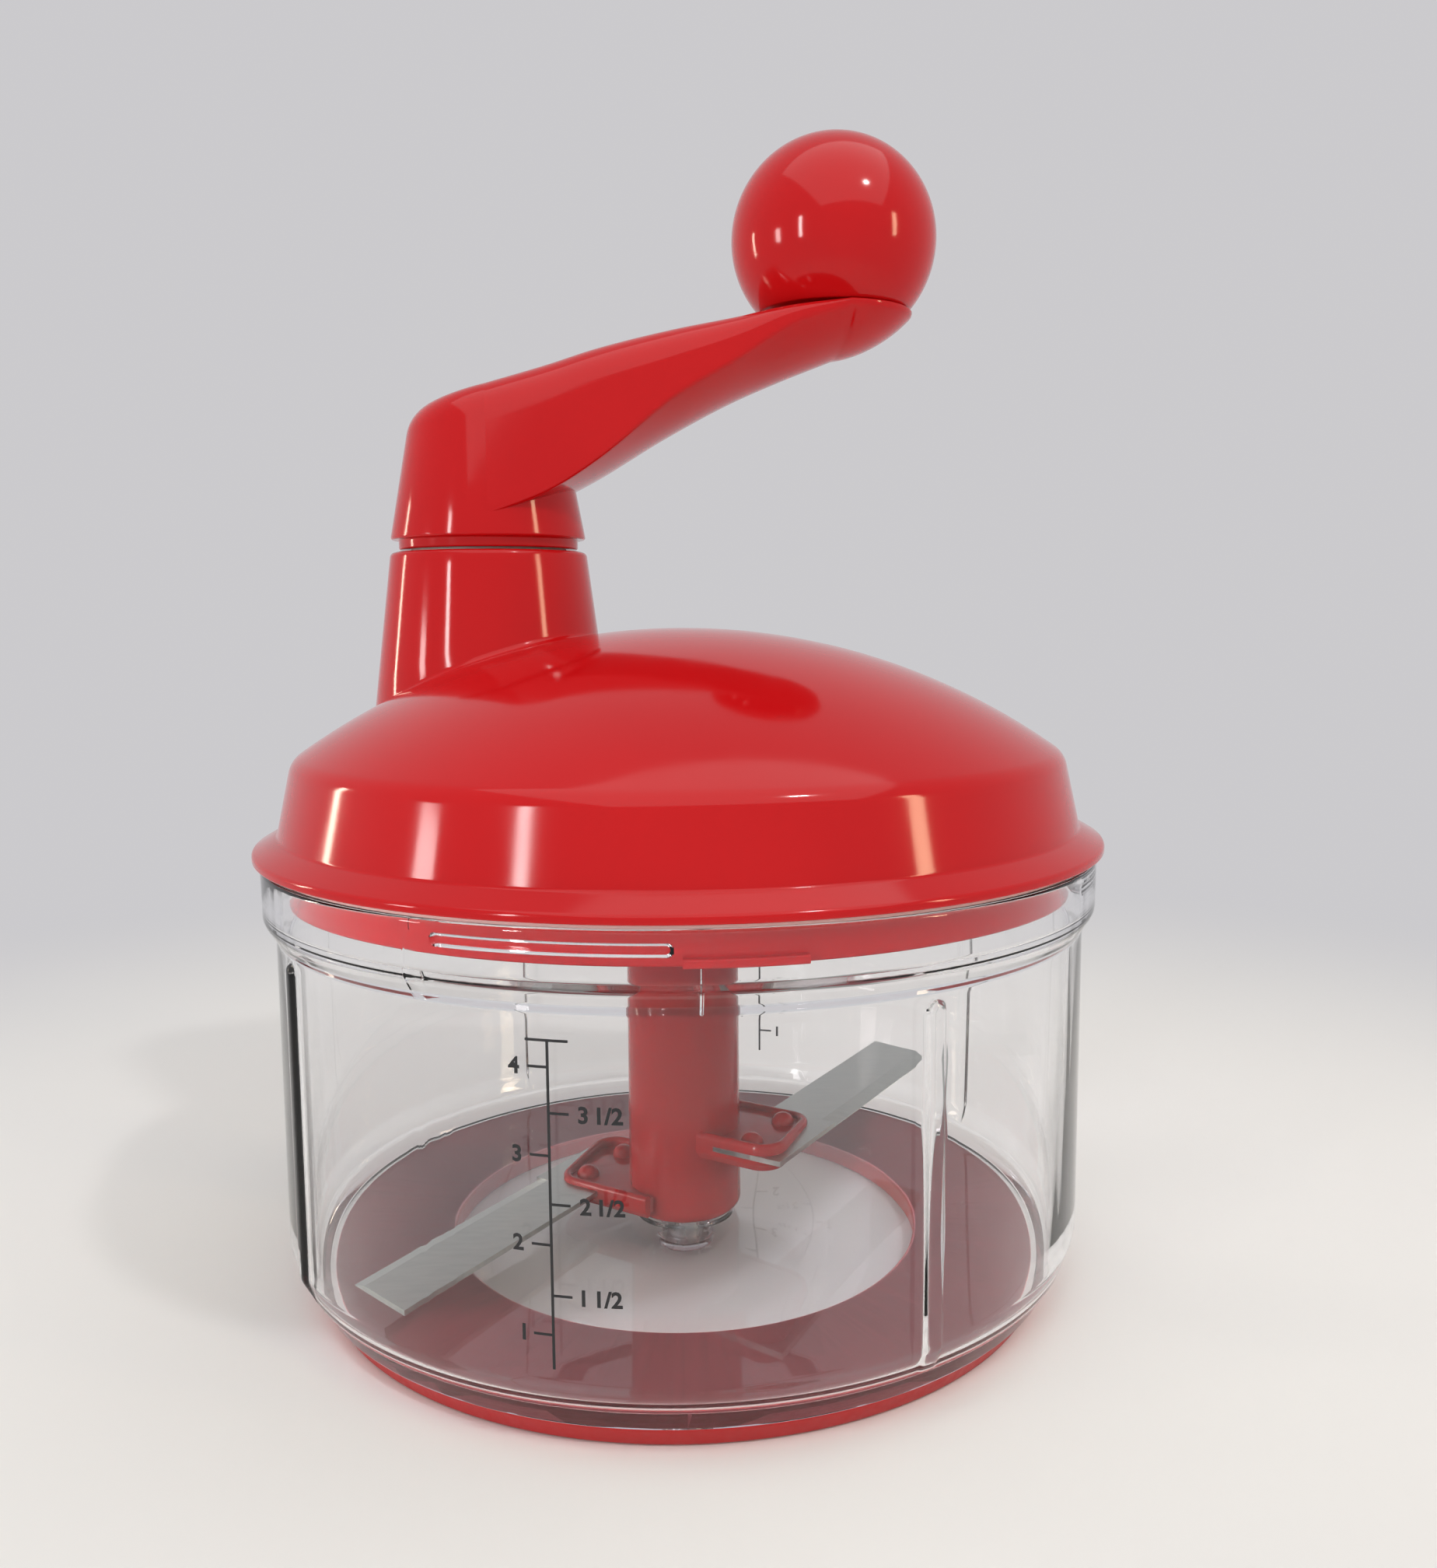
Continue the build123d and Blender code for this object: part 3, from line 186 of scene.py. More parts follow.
def smoothThrough(places, values, at):
    # cubic pieces through a few stations, whose slopes are the mean of the two chords beside them
    places, values = np.array(places, float), np.array(values, float)
    chord = np.diff(values) / np.diff(places)
    slope = np.concatenate([[chord[0]], (chord[:-1] + chord[1:]) / 2, [chord[-1]]])
    k = np.clip(np.searchsorted(places, at, side="right") - 1, 0, len(places) - 2)
    width = places[k + 1] - places[k]
    t = (at - places[k]) / width
    return (
        values[k] * (1 + 2 * t) * (1 - t) ** 2
        + slope[k] * width * t * (1 - t) ** 2
        + values[k + 1] * t**2 * (3 - 2 * t)
        - slope[k + 1] * width * t**2 * (1 - t)
    )


def newFinish(name, **sockets):
    material = bpy.data.materials.new(name)
    material.use_nodes = True
    shader = material.node_tree.nodes["Principled BSDF"]
    for socket, value in sockets.items():
        shader.inputs[socket.replace("_", " ")].default_value = value
    return material, material.node_tree, shader


def addNode(tree, kind, **settings):
    node = tree.nodes.new(kind)
    for key, value in settings.items():
        if key in node.inputs.keys():
            node.inputs[key].default_value = value
        else:
            setattr(node, key, value)
    return node


def noiseAt(tree, scale, detail=3.0, stretch=(1, 1, 1), roughness=0.5):
    # noise on the object's own coordinates, stretched for brushed or moulded marks
    place = addNode(tree, "ShaderNodeTexCoord")
    turn = addNode(tree, "ShaderNodeMapping")
    turn.inputs["Scale"].default_value = stretch
    noise = addNode(tree, "ShaderNodeTexNoise", Scale=scale, Detail=detail, Roughness=roughness)
    tree.links.new(place.outputs["Object"], turn.inputs["Vector"])
    tree.links.new(turn.outputs["Vector"], noise.inputs["Vector"])
    return noise.outputs["Fac"]


def ranged(tree, source, low, high, fromLow=0.3, fromHigh=0.7):
    change = addNode(tree, "ShaderNodeMapRange")
    for socket, value in zip(("From Min", "From Max", "To Min", "To Max"), (fromLow, fromHigh, low, high)):
        change.inputs[socket].default_value = value
    tree.links.new(source, change.inputs["Value"])
    return change.outputs["Result"]


def blendColours(tree, factor, first, second):
    # each colour is three numbers or another node's output
    mix = addNode(tree, "ShaderNodeMix", data_type="RGBA")
    for socket, colour in zip((mix.inputs[6], mix.inputs[7]), (first, second)):
        if isinstance(colour, tuple):
            socket.default_value = (*colour, 1)
        else:
            tree.links.new(colour, socket)
    tree.links.new(factor, mix.inputs[0])
    return mix.outputs[2]


def mixShaders(tree, factor, first, second, output):
    mix = addNode(tree, "ShaderNodeMixShader")
    for socket, source in zip(mix.inputs, (factor, first.outputs[0], second.outputs[0])):
        tree.links.new(source, socket)
    tree.links.new(mix.outputs[0], output.inputs["Surface"])


def mottled(tree, shader, pattern, darker, colour):
    mixed = blendColours(tree, ranged(tree, pattern, 0, 1), darker, colour)
    tree.links.new(mixed, shader.inputs["Base Color"])


def roughFrom(tree, shader, pattern, *span):
    tree.links.new(ranged(tree, pattern, *span), shader.inputs["Roughness"])


def bumpFrom(tree, shader, height, distance, strength=1.0):
    bump = addNode(tree, "ShaderNodeBump", Strength=strength, Distance=distance)
    tree.links.new(height, bump.inputs["Height"])
    tree.links.new(bump.outputs["Normal"], shader.inputs["Normal"])


def shaded(colour, share):
    return tuple(c * share for c in colour)


redLook = dict(
    colour=(0.57, 0.0068, 0.0085), deeper=(0.52, 0.0045, 0.0065), rough=(0.075, 0.12), shine=0.30,
    tintScale=18, wearScale=140, wearStretch=(1, 1, 0.35), flowScale=55, flowHigh=0.00004, flowShare=0.35,
)
# the shaft's look is the cover's red made darker: painted shade for the shaft inside the covered bowl
shadedShaftLook = dict(redLook, colour=(0.30, 0.0025, 0.003), deeper=(0.26, 0.002, 0.0025), rough=(0.10, 0.18))


def glossyRed(name, look):
    material, tree, shader = newFinish(name, IOR=1.5, Specular_IOR_Level=look["shine"])
    mottled(tree, shader, noiseAt(tree, look["tintScale"], 2.0), look["deeper"], look["colour"])
    roughFrom(tree, shader, noiseAt(tree, look["wearScale"], 4.0, look["wearStretch"]), *look["rough"])
    # faint sink and flow of the moulding
    bumpFrom(tree, shader, noiseAt(tree, look["flowScale"], 1.0), look["flowHigh"], look["flowShare"])
    return material


clearLook = dict(
    colour=(0.985, 0.985, 0.992, 1), bend=1.44, scuffScale=420, scuffStretch=(1, 1, 0.2), scuffRough=0.05,
    waveScale=26, waveHigh=0.00006, waveShare=0.25,
    depth=6.0, tint=(0.80, 0.81, 0.92, 1), through=(0.91, 0.91, 0.93, 1),
)


def clearPlastic(name, look):
    material, tree, shader = newFinish(
        name, IOR=look["bend"], Transmission_Weight=1.0, Base_Color=look["colour"]
    )
    scuffs = noiseAt(tree, look["scuffScale"], 5.0, look["scuffStretch"], 0.65)
    roughFrom(tree, shader, scuffs, 0.0, look["scuffRough"], 0.5, 0.8)
    bumpFrom(tree, shader, noiseAt(tree, look["waveScale"], 1.0), look["waveHigh"], look["waveShare"])
    absorb = addNode(tree, "ShaderNodeVolumeAbsorption", Density=look["depth"], Color=look["tint"])
    output = tree.nodes["Material Output"]
    tree.links.new(absorb.outputs["Volume"], output.inputs["Volume"])
    # lamps shine in through the wall, so that what is inside is lit
    path = addNode(tree, "ShaderNodeLightPath")
    letsThrough = addNode(tree, "ShaderNodeBsdfTransparent", Color=look["through"])
    mixShaders(tree, path.outputs["Is Shadow Ray"], shader, letsThrough, output)
    return material


def steelFinish(name, colour, rough, stretch, scale=900):
    material, tree, shader = newFinish(name, Metallic=1.0)
    lines = noiseAt(tree, scale, 3.0, stretch)
    roughFrom(tree, shader, lines, *rough)
    mottled(tree, shader, lines, shaded(colour, 0.86), colour)
    bumpFrom(tree, shader, lines, 0.00003, 0.3)
    return material


def plainPlastic(name, colour, rough=(0.35, 0.5), scale=200, grain=0.00005):
    material, tree, shader = newFinish(name, IOR=1.5)
    mottled(tree, shader, noiseAt(tree, 25, 2.0), shaded(colour, 0.9), colour)
    fine = noiseAt(tree, scale, 3.0)
    roughFrom(tree, shader, fine, *rough)
    bumpFrom(tree, shader, fine, grain, 0.4)
    return material


def ringFinish(name, side, paintedPaleTop):
    # the side is a full red; the level face under the bowl is painted paler: a painted reflection of the haze that
    # the clear floor lays over it
    material, tree, shader = newFinish(name, IOR=1.5)
    faces = addNode(tree, "ShaderNodeTexCoord")
    split = addNode(tree, "ShaderNodeSeparateXYZ")
    tree.links.new(faces.outputs["Normal"], split.inputs[0])
    level = ranged(tree, split.outputs["Z"], 0, 1, 0.8, 0.95)
    patchy = blendColours(tree, ranged(tree, noiseAt(tree, 40, 2.0), 0, 1), shaded(paintedPaleTop, 0.88), paintedPaleTop)
    tree.links.new(blendColours(tree, level, side, patchy), shader.inputs["Base Color"])
    fine = noiseAt(tree, 500, 3.0)
    roughFrom(tree, shader, fine, 0.36, 0.5)
    bumpFrom(tree, shader, fine, 0.00006, 0.4)
    return material


finish = {
    "red": glossyRed("glossyRed", redLook),
    "shaftRed": glossyRed("shaftRed", shadedShaftLook),
    "bowl": clearPlastic("clearPlastic", clearLook),
    # the ring's second colour is its level top, made paler as a painted reflection
    "base_ring": ringFinish("ringRubber", (0.46, 0.010, 0.011), (0.74, 0.17, 0.20)),
    "seal": plainPlastic("sealRubber", (0.80, 0.50, 0.48), (0.3, 0.45), 300),
    "blade": steelFinish("bladeSteel", (0.50, 0.52, 0.49), (0.28, 0.42), (0.25, 1, 1)),
    "steel": steelFinish("turnedSteel", (0.60, 0.60, 0.60), (0.2, 0.35), (1, 1, 0.1)),
    "bearing": plainPlastic("naturalPlastic", (0.78, 0.76, 0.70)),
    "inner": plainPlastic("whitePlastic", (0.80, 0.79, 0.75)),
    "print": plainPlastic("blackPrint", (0.012, 0.012, 0.014), (0.35, 0.5), 900, 0.00001),
}


def setFinish(piece, material):
    piece.data.materials.clear()
    piece.data.materials.append(finish[material])


for part in frame["record"]["subparts"]:
    setFinish(nodes[part["node"]], part["material_slot"])
print("finishes are on the solids")


def place(piece, body, material, slot=None, instead=()):
    setFinish(piece, material)
    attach(piece, body)
    if instead:
        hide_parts(*instead)
    return piece


# lengths in metres and angles in degrees from here on; in a profile the third number is a corner's rounding
bowlShape = dict(
    wall=0.0764, thick=0.0025, floor=0.0067, under=0.0044, innerCorner=0.0066,
    lipIn=0.0042, beadIn=(0.0028, 0.0016), beadDrop=(0.0054, 0.0048),
    heel=0.0134, heelSoft=0.0040, heelRise=0.0030, fine=0.0022, over=0.0001, stepSoft=0.0014,
    collarFoot=0.0702, collarRise=0.0036, collarTop=0.0831, collarOut=0.0787, collarIn=0.0760,
    gripAngle=30.0, gripWidth=0.0038, gripStand=0.0008, gripSoft=0.0014, gripLow=0.0104, gripHigh=0.0690,
    ribAngle=-119.0, ribArc=28.0, ribLow=0.0788, ribHigh=0.0808, ribStand=0.0012, ribSoft=0.0008,
    ribClear=0.0002, seamAngles=(-88.0, -121.8), seamWidth=0.00035, seamStand=0.00012, seamEnd=0.001,
    bossRadius=0.0098, bossTop=0.0071, pinBoss=0.0052, pinBossFoot=0.0012,
)


def capsuleHeight(along, across, halfLength, halfWidth, stand, soft):
    # how far a rounded bar stands out: full inside the bar, easing to nothing over the width soft at its edge
    reach = np.hypot(np.maximum(np.abs(along) - (halfLength - halfWidth), 0), across)
    share = np.clip((halfWidth - reach) / soft, 0, 1)
    return stand * np.sqrt(1 - (1 - share) ** 2)


def bowlTurns(b, seamHalf):
    # round the bowl in degrees: an even ring of steps, with close ones at each bar, rib end and seam
    quarter = np.arange(4) * 90.0
    across = np.degrees(b["gripWidth"] / 2 / b["wall"])
    gripSteps = (b["gripAngle"] + quarter)[:, None] + across * 1.15 * np.linspace(-1, 1, 15)
    ribEnds = ((b["ribAngle"], 1), (b["ribAngle"] + b["ribArc"], -1))
    endSteps = [(edge + quarter)[:, None] + np.linspace(-0.3, 1.1, 8) * way for edge, way in ribEnds]
    seamShares = np.array([-2.0, -1.0, -0.5, 0.0, 0.5, 1.0, 2.0])
    seamSteps = np.array(b["seamAngles"])[:, None] + seamHalf * seamShares
    steps = [np.arange(0, 360, 2.0), gripSteps, *endSteps, seamSteps]
    turn = np.unique(np.round(np.concatenate([part.ravel() for part in steps]) % 360, 4))
    turn = turn[np.concatenate([[True], np.diff(turn) > 0.02])]
    return np.append(turn, 360.0)


def buildBowl(shape):
    # outer profile from the axis under the floor out and up to the rim, then down inside and back to the axis
    b = shape
    heelTop, gripTop = b["heel"] + b["heelRise"], b["gripHigh"] + b["over"]
    low = roundedPath([
        (0, b["pinBossFoot"], 0), (b["pinBoss"], b["pinBossFoot"], 0.0006),
        (b["pinBoss"], b["under"], 0.0008), (b["wall"] - b["lipIn"], b["under"], 0.0003),
        (b["wall"] - b["beadIn"][0], b["heel"] - b["beadDrop"][0], 0.0004),
        (b["wall"] - b["beadIn"][1], b["heel"] - b["beadDrop"][1], 0.0006),
        (b["wall"], b["heel"], b["heelSoft"]), (b["wall"], heelTop, 0),
    ], 5)
    wallHeights = np.concatenate([
        np.linspace(heelTop, b["gripHigh"] - b["fine"], 10)[1:],
        np.linspace(b["gripHigh"] - b["fine"], gripTop, 12)[1:],
    ])
    wall = np.stack([np.full(len(wallHeights), b["wall"]), wallHeights], axis=1)
    ribFoot, ribTop = b["ribLow"] - b["ribClear"], b["ribHigh"] + b["ribClear"]
    collarStep = b["collarFoot"] + b["collarRise"]
    collar = roundedPath([
        (b["wall"], gripTop, 0), (b["wall"], b["collarFoot"], 0.0012),
        (b["collarOut"] - b["over"], collarStep, 0.0020), (b["collarOut"], b["collarTop"], 0.0007),
        (b["collarIn"], b["collarTop"], 0.0005), (b["collarIn"], ribTop, 0),
    ], 7)[1:]
    ribHeights = np.linspace(ribTop, ribFoot, 16)[1:]
    ribs = np.stack([np.full(len(ribHeights), b["collarIn"]), ribHeights], axis=1)
    inside = b["wall"] - b["thick"]
    inner = roundedPath([
        (b["collarIn"], ribFoot, 0), (b["collarIn"], collarStep + 0.0012, b["stepSoft"]),
        (inside, b["collarFoot"] + b["stepSoft"], b["stepSoft"]), (inside, b["floor"], b["innerCorner"]),
        (b["bossRadius"], b["floor"], 0.0008), (b["bossRadius"] - 0.0003, b["bossTop"], 0.0007),
        (0, b["bossTop"], 0),
    ], 8)[1:]
    profile = np.concatenate([low, wall, collar, ribs, inner])
    row = np.arange(len(profile))
    wallEnd = len(low) + len(wall)
    ribStart = wallEnd + len(collar)
    seamHalf = np.degrees(b["seamWidth"] / 2 / b["collarOut"])
    turn = bowlTurns(b, seamHalf)
    radius, height = profile[:, :1] + 0 * turn, profile[:, 1:] + 0 * turn
    # four grip bars outside and four bayonet ribs inside, a quarter turn apart
    fromGrip = (turn - b["gripAngle"] + 45) % 90 - 45
    grip = capsuleHeight(height - (b["gripLow"] + b["gripHigh"]) / 2, np.radians(fromGrip) * b["wall"],
                         (b["gripHigh"] - b["gripLow"]) / 2, b["gripWidth"] / 2,
                         b["gripStand"], b["gripSoft"])
    radius += np.where((row < wallEnd)[:, None], grip, 0)
    fromRib = (turn - (b["ribAngle"] + b["ribArc"] / 2) + 45) % 90 - 45
    rib = capsuleHeight(np.radians(fromRib) * b["collarIn"], height - (b["ribLow"] + b["ribHigh"]) / 2,
                        np.radians(b["ribArc"] / 2) * b["collarIn"], (b["ribHigh"] - b["ribLow"]) / 2,
                        b["ribStand"], b["ribSoft"])
    isRib = (row >= ribStart) & (row < ribStart + len(ribs) - 1)
    radius -= np.where(isRib[:, None], rib, 0)
    # two fine mould seams: an upright ridge on the collar's outside
    fromSeam = np.abs(turn[:, None] - np.array(b["seamAngles"]) % 360).min(axis=1)
    seam = b["seamStand"] * np.clip(1.5 - fromSeam / seamHalf, 0, 1)
    onCollar = (row >= wallEnd + 4) & (row < ribStart) & (height[:, 0] < b["collarTop"] - b["seamEnd"])
    radius += np.where(onCollar[:, None], seam, 0)
    angle = np.radians(turn)
    angle[-1] = angle[0]
    radius[:, -1] = radius[:, 0]
    return gridMesh("clearBowl", roundAxis(radius, angle, height), 40)


place(buildBowl(bowlShape), "base", "bowl", instead=("bowl",))
print("bowl is made")

ringShape = dict(
    hole=0.0460, foot=0.0692, top=0.0708, height=0.0044, soft=0.0007, footSoft=0.0011, shoulder=0.0010,
    shoulderSoft=0.0012, topIn=0.0002, topSoft=0.0003,
)


def buildFootRing(shape):
    r = shape
    corners = [
        (r["hole"], r["height"] / 2, 0), (r["hole"], 0, r["soft"]), (r["foot"], 0, r["footSoft"]),
        (r["top"], r["height"] - r["shoulder"], r["shoulderSoft"]),
        (r["top"] - r["topIn"], r["height"], r["topSoft"]),
        (r["hole"], r["height"], r["soft"]), (r["hole"], r["height"] / 2, 0),
    ]
    return revolve("footRing", roundedPath(corners, 6), count=256)


place(buildFootRing(ringShape), "base", "base_ring", instead=("base_ring",))

sealShape = dict(outer=0.0782, width=0.0034, soft=0.00045)


def buildSeal(shape):
    low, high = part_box("cover_seal")
    inner = shape["outer"] - shape["width"]
    middle = (low.z + high.z) / 2
    corners = [
        (inner, middle, 0), (inner, low.z, shape["soft"]), (shape["outer"], low.z, shape["soft"]),
        (shape["outer"], high.z, shape["soft"]), (inner, high.z, shape["soft"]), (inner, middle, 0),
    ]
    return revolve("softSeal", roundedPath(corners, 5), count=256)


place(buildSeal(sealShape), "seal", "seal", instead=("cover_seal",))

# the cup scale: a line, ticks and plain numbers printed on the wall, once in front and once behind
scaleShape = dict(
    angles=(-105.0, 75.0), bar=0.0661, foot=0.0156, lineWidth=0.00045, barWidth=0.0066, tickWidth=0.00042,
    tick=0.0031, barLeft=0.52, halfGap=0.0014, wholeGap=0.0013, ink=0.00003, steps=4,
    digitHeight=0.0024, digitShare=0.69, digitWeight=0.03, wordSpace=0.6,
    marks=(("4", 0.0621), ("3 1/2", 0.0552), ("3", 0.0487), ("2 1/2", 0.0413), ("2", 0.0350),
           ("1 1/2", 0.0272), ("1", 0.0210)),
)


def flatText(words, shape):
    # numbers as flat corners and faces; digitShare is a digit's height as a share of the letter size
    letters = bpy.data.curves.new("digits", "FONT")
    letters.body = words
    letters.size = shape["digitHeight"] / shape["digitShare"]
    letters.offset = letters.size * shape["digitWeight"]
    letters.space_word = shape["wordSpace"]
    letters.resolution_u = 3
    holder = addObject("digits", letters)
    bpy.context.view_layer.update()
    mesh = bpy.data.meshes.new_from_object(holder.evaluated_get(bpy.context.evaluated_depsgraph_get()))
    bpy.data.objects.remove(holder)
    bpy.data.curves.remove(letters)
    return cornersOf(mesh)[:, :2].astype(float), [list(p.vertices) for p in mesh.polygons]


def inkStrip(left, low, right, high, steps):
    # a flat strip on the unrolled wall, in steps so that it bends with the wall
    across = np.repeat(np.linspace(left, right, steps + 1), 2)
    points = np.stack([across, np.tile([low, high], steps + 1)], axis=1)
    k = np.arange(steps) * 2
    return points, np.stack([k, k + 2, k + 3, k + 1], axis=1).tolist()


def buildScale(shape, wall):
    # the print is laid out flat first: halves of a cup on the right of the line, whole cups on the left
    s = shape
    thin, tick = s["lineWidth"] / 2, s["tickWidth"] / 2
    bar = (-s["barWidth"] * s["barLeft"], s["barWidth"] * (1 - s["barLeft"]))
    patches = [
        inkStrip(-thin, s["foot"], thin, s["bar"], s["steps"]),
        inkStrip(bar[0], s["bar"] - tick, bar[1], s["bar"] + tick, s["steps"]),
    ]
    for words, height in s["marks"]:
        isHalf = "/" in words
        ends = (0, s["tick"]) if isHalf else (-s["tick"], 0)
        patches.append(inkStrip(ends[0], height - tick, ends[1], height + tick, s["steps"]))
        points, faces = flatText(words, s)
        points[:, 1] += height - s["digitHeight"] / 2
        if isHalf:
            points[:, 0] += s["tick"] + s["halfGap"] - points[:, 0].min()
        else:
            points[:, 0] += -s["tick"] - s["wholeGap"] - points[:, 0].max()
        patches.append((points, faces))
    shifts = np.cumsum([0] + [len(points) for points, faces in patches])
    faces = [[int(i + shift) for i in face] for shift, (_, part) in zip(shifts, patches) for face in part]
    flat = np.concatenate([points for points, part in patches])
    pieces = []
    for k, angle in enumerate(s["angles"]):
        # a point's place along the wall becomes an angle round it
        turn = np.radians(angle) + flat[:, 0] / wall
        mesh = bpy.data.meshes.new("cupScale%d" % (k + 1))
        mesh.from_pydata(roundAxis(wall + s["ink"], turn, flat[:, 1]).tolist(), [], faces)
        mesh.update()
        pieces.append(addObject(mesh.name, mesh))
    return pieces


for piece in buildScale(scaleShape, bowlShape["wall"]):
    place(piece, "base", "print", slot="bearing")
print("ring, seal and scale are made")

crankAxis = jointPlace["crank_turn"][:2]
coverShape = dict(
    flange=0.0800, flangeLow=0.0841, lip=0.00135, skirt=0.0743, skirtLow=0.0769, skirtThick=0.0022,
    domeFoot=0.07555, domeFootHeight=0.0880, shoulder=0.07265, shoulderSoft=0.0046,
    rho=0.1243, top=0.1246, wall=0.0024, closeRise=0.003, wallEnd=3.0,
    turretTop=0.1401, turretRadius=0.01995, turretDraft=7.3, turretEdge=0.0011, turretFoot=0.0013,
    turretSide=0.004, turretSink=0.0012, turretFlare=0.0002,
    lugAngle=-90.0, lugArc=14.0, lugHigh=0.00145, lugStand=0.0013, lugSink=0.0006, lugSoft=0.0004,
)


def buildDome(shape):
    # outline: up the skirt, out under the flange, over its lip, up the flank, over the cap, back inside
    c = shape
    centre = c["top"] - c["rho"]
    shoulderHeight = centre + np.sqrt(c["rho"] ** 2 - c["shoulder"] ** 2)
    capTangent = np.degrees(np.arcsin(c["shoulder"] / c["rho"]))
    # the shoulder's arc touches the flank line and the cap: its middle is one radius inside both
    flank = np.array([c["shoulder"] - c["domeFoot"], shoulderHeight - c["domeFootHeight"]])
    flank /= np.linalg.norm(flank)
    inward = np.array([-flank[1], flank[0]])
    soft = c["shoulderSoft"]
    start = np.array([c["domeFoot"], c["domeFootHeight"]]) + inward * soft
    # walk along the line parallel to the flank until it is (rho - soft) from the sphere's middle
    offset = start - np.array([0.0, centre])
    along = offset @ flank
    travel = -along + np.sqrt(along**2 - offset @ offset + (c["rho"] - soft) ** 2)
    middle = start + flank * travel
    fromTurn = np.degrees(np.arctan2(-inward[1], -inward[0]))
    toTurn = np.degrees(np.arctan2(middle[1] - centre, middle[0]))
    shoulderArc = arcPoints(middle, soft, fromTurn, toTurn, 14)
    cap = arcPoints((0, centre), c["rho"], toTurn, 90, 60)[1:]
    cap[-1, 0] = 0
    inner = c["skirt"] - c["skirtThick"]
    foot = roundedPath([
        (inner, c["skirtLow"] + c["closeRise"], 0), (inner, c["skirtLow"], 0.0004),
        (c["skirt"], c["skirtLow"], 0.0006),
        (c["skirt"], c["flangeLow"], 0.0004), (c["flange"], c["flangeLow"], 0.0003),
        (c["flange"], c["flangeLow"] + c["lip"], 0.0009), (c["domeFoot"], c["domeFootHeight"], 0.0009),
        tuple(shoulderArc[0]) + (0,),
    ], 6)
    under = arcPoints((0, centre), c["rho"] - c["wall"], 90, 90 - capTangent + c["wallEnd"], 24)
    under[0, 0] = 0
    closing = np.array([[inner, c["domeFootHeight"]], [inner, c["skirtLow"] + c["closeRise"]]])
    profile = np.concatenate([foot, shoulderArc[1:], cap, under, closing])
    return revolve("coverDome", profile, count=288)


def buildTurret(shape, axis):
    # a drafted tube round the crank's axis; at each angle its foot rolls into the dome on a small ball
    c = shape
    turn = fullTurn(160)
    out = np.stack([np.cos(turn), np.sin(turn)], axis=1)

    def level(reach, z):
        # one ring of positions at a distance from the axis
        return np.concatenate([axis + out * reach, np.full((len(turn), 1), z)], axis=1)

    draft = radians(c["turretDraft"])
    centre = c["top"] - c["rho"]
    ball = c["turretFoot"]
    height = np.full(len(turn), c["top"] - 0.008)
    for _ in range(30):  # the ball's middle lies one ball radius off the cone and off the dome
        reach = c["turretRadius"] + (c["turretTop"] - height) * np.tan(draft) + ball / np.cos(draft)
        spot = axis + out * reach[:, None]
        height = centre + np.sqrt((c["rho"] + ball) ** 2 - (spot**2).sum(axis=1))
    middle = np.concatenate([spot, height[:, None]], axis=1)
    offCone = np.concatenate([out * np.cos(draft), np.full((len(turn), 1), np.sin(draft))], axis=1)
    offDome = middle - np.array([0, 0, centre])
    offDome /= np.linalg.norm(offDome, axis=1)[:, None]
    sweep = np.arccos(np.clip((offCone * offDome).sum(axis=1), -1, 1))[:, None]
    foot = [middle - ball * arcBetween(offCone, offDome, sweep, share) for share in np.linspace(0, 1, 10)]
    flare = np.concatenate([out, np.zeros((len(turn), 1))], axis=1) * c["turretFlare"]
    foot.append(foot[-1] - offDome * c["turretSink"] + flare)
    top = roundedPath([
        (0, c["turretTop"], 0), (c["turretRadius"], c["turretTop"], c["turretEdge"]),
        (c["turretRadius"] + c["turretSide"] * np.tan(draft), c["turretTop"] - c["turretSide"], 0),
    ], 7)
    rows = [level(reach, z) for reach, z in top]
    last, first = rows[-1], foot[0]
    rows += [last + (first - last) * t for t in np.linspace(0, 1, 8)[1:-1]]
    rows += foot + [level(0, centre + c["rho"] * 0.9)]
    return gridMesh("coverTurret", np.stack(rows), 40)


def buildLugs(shape):
    # four short bars round the skirt's foot: a rounded box section carried round an arc
    c = shape
    inner, outer = c["skirt"] - c["lugSink"], c["skirt"] + c["lugStand"]
    low, high = c["skirtLow"], c["skirtLow"] + c["lugHigh"]
    section = roundedPath([
        (inner, low, 0), (outer, low, c["lugSoft"]), (outer, high, c["lugSoft"]), (inner, high, 0),
        (inner, low, 0),
    ], 4)
    lugs = []
    for start in c["lugAngle"] + np.arange(4) * 90:
        turn = np.radians(start + np.linspace(0, c["lugArc"], 12))[:, None]
        lugs.append(gridMesh("lug", withEnds(roundAxis(section[:, 0], turn, section[:, 1]))))
    return joined("coverLugs", *lugs)


coverParts = (buildDome(coverShape), buildTurret(coverShape, crankAxis), buildLugs(coverShape))
place(joined("coverSkin", *coverParts), "cover", "red", instead=("cover_shell",))
print("cover is made")

knobAxis = jointPlace["knob_spin"][:2]
armShape = dict(
    neckFoot=0.1406, neck=0.0182, hubFoot=0.1426, foot=0.1435, hub=0.0197, draft=10.5, slope=0.3, rise=0.0479,
    cup=0.0164, cupRise=0.13, footSoft=0.0005, flankRise=0.010, hubEdge=0.0082, crease=0.0007, drop=0.0040,
    # stations along the arm, then shares of the rise: crease, lowest line, top, and the top edge's radius
    share=(0.00, 0.17, 0.30, 0.51, 0.69, 0.83, 1.00),
    edge=(0.063, 0.167, 0.294, 0.550, 0.712, 0.848, 0.938),
    keel=(0.042, 0.136, 0.230, 0.420, 0.566, 0.660, 0.762),
    top=(0.616, 0.693, 0.757, 0.835, 0.886, 0.928, 0.961),
    corner=(0.0082, 0.0082, 0.0080, 0.0070, 0.0048, 0.0022, 0.0006),
)


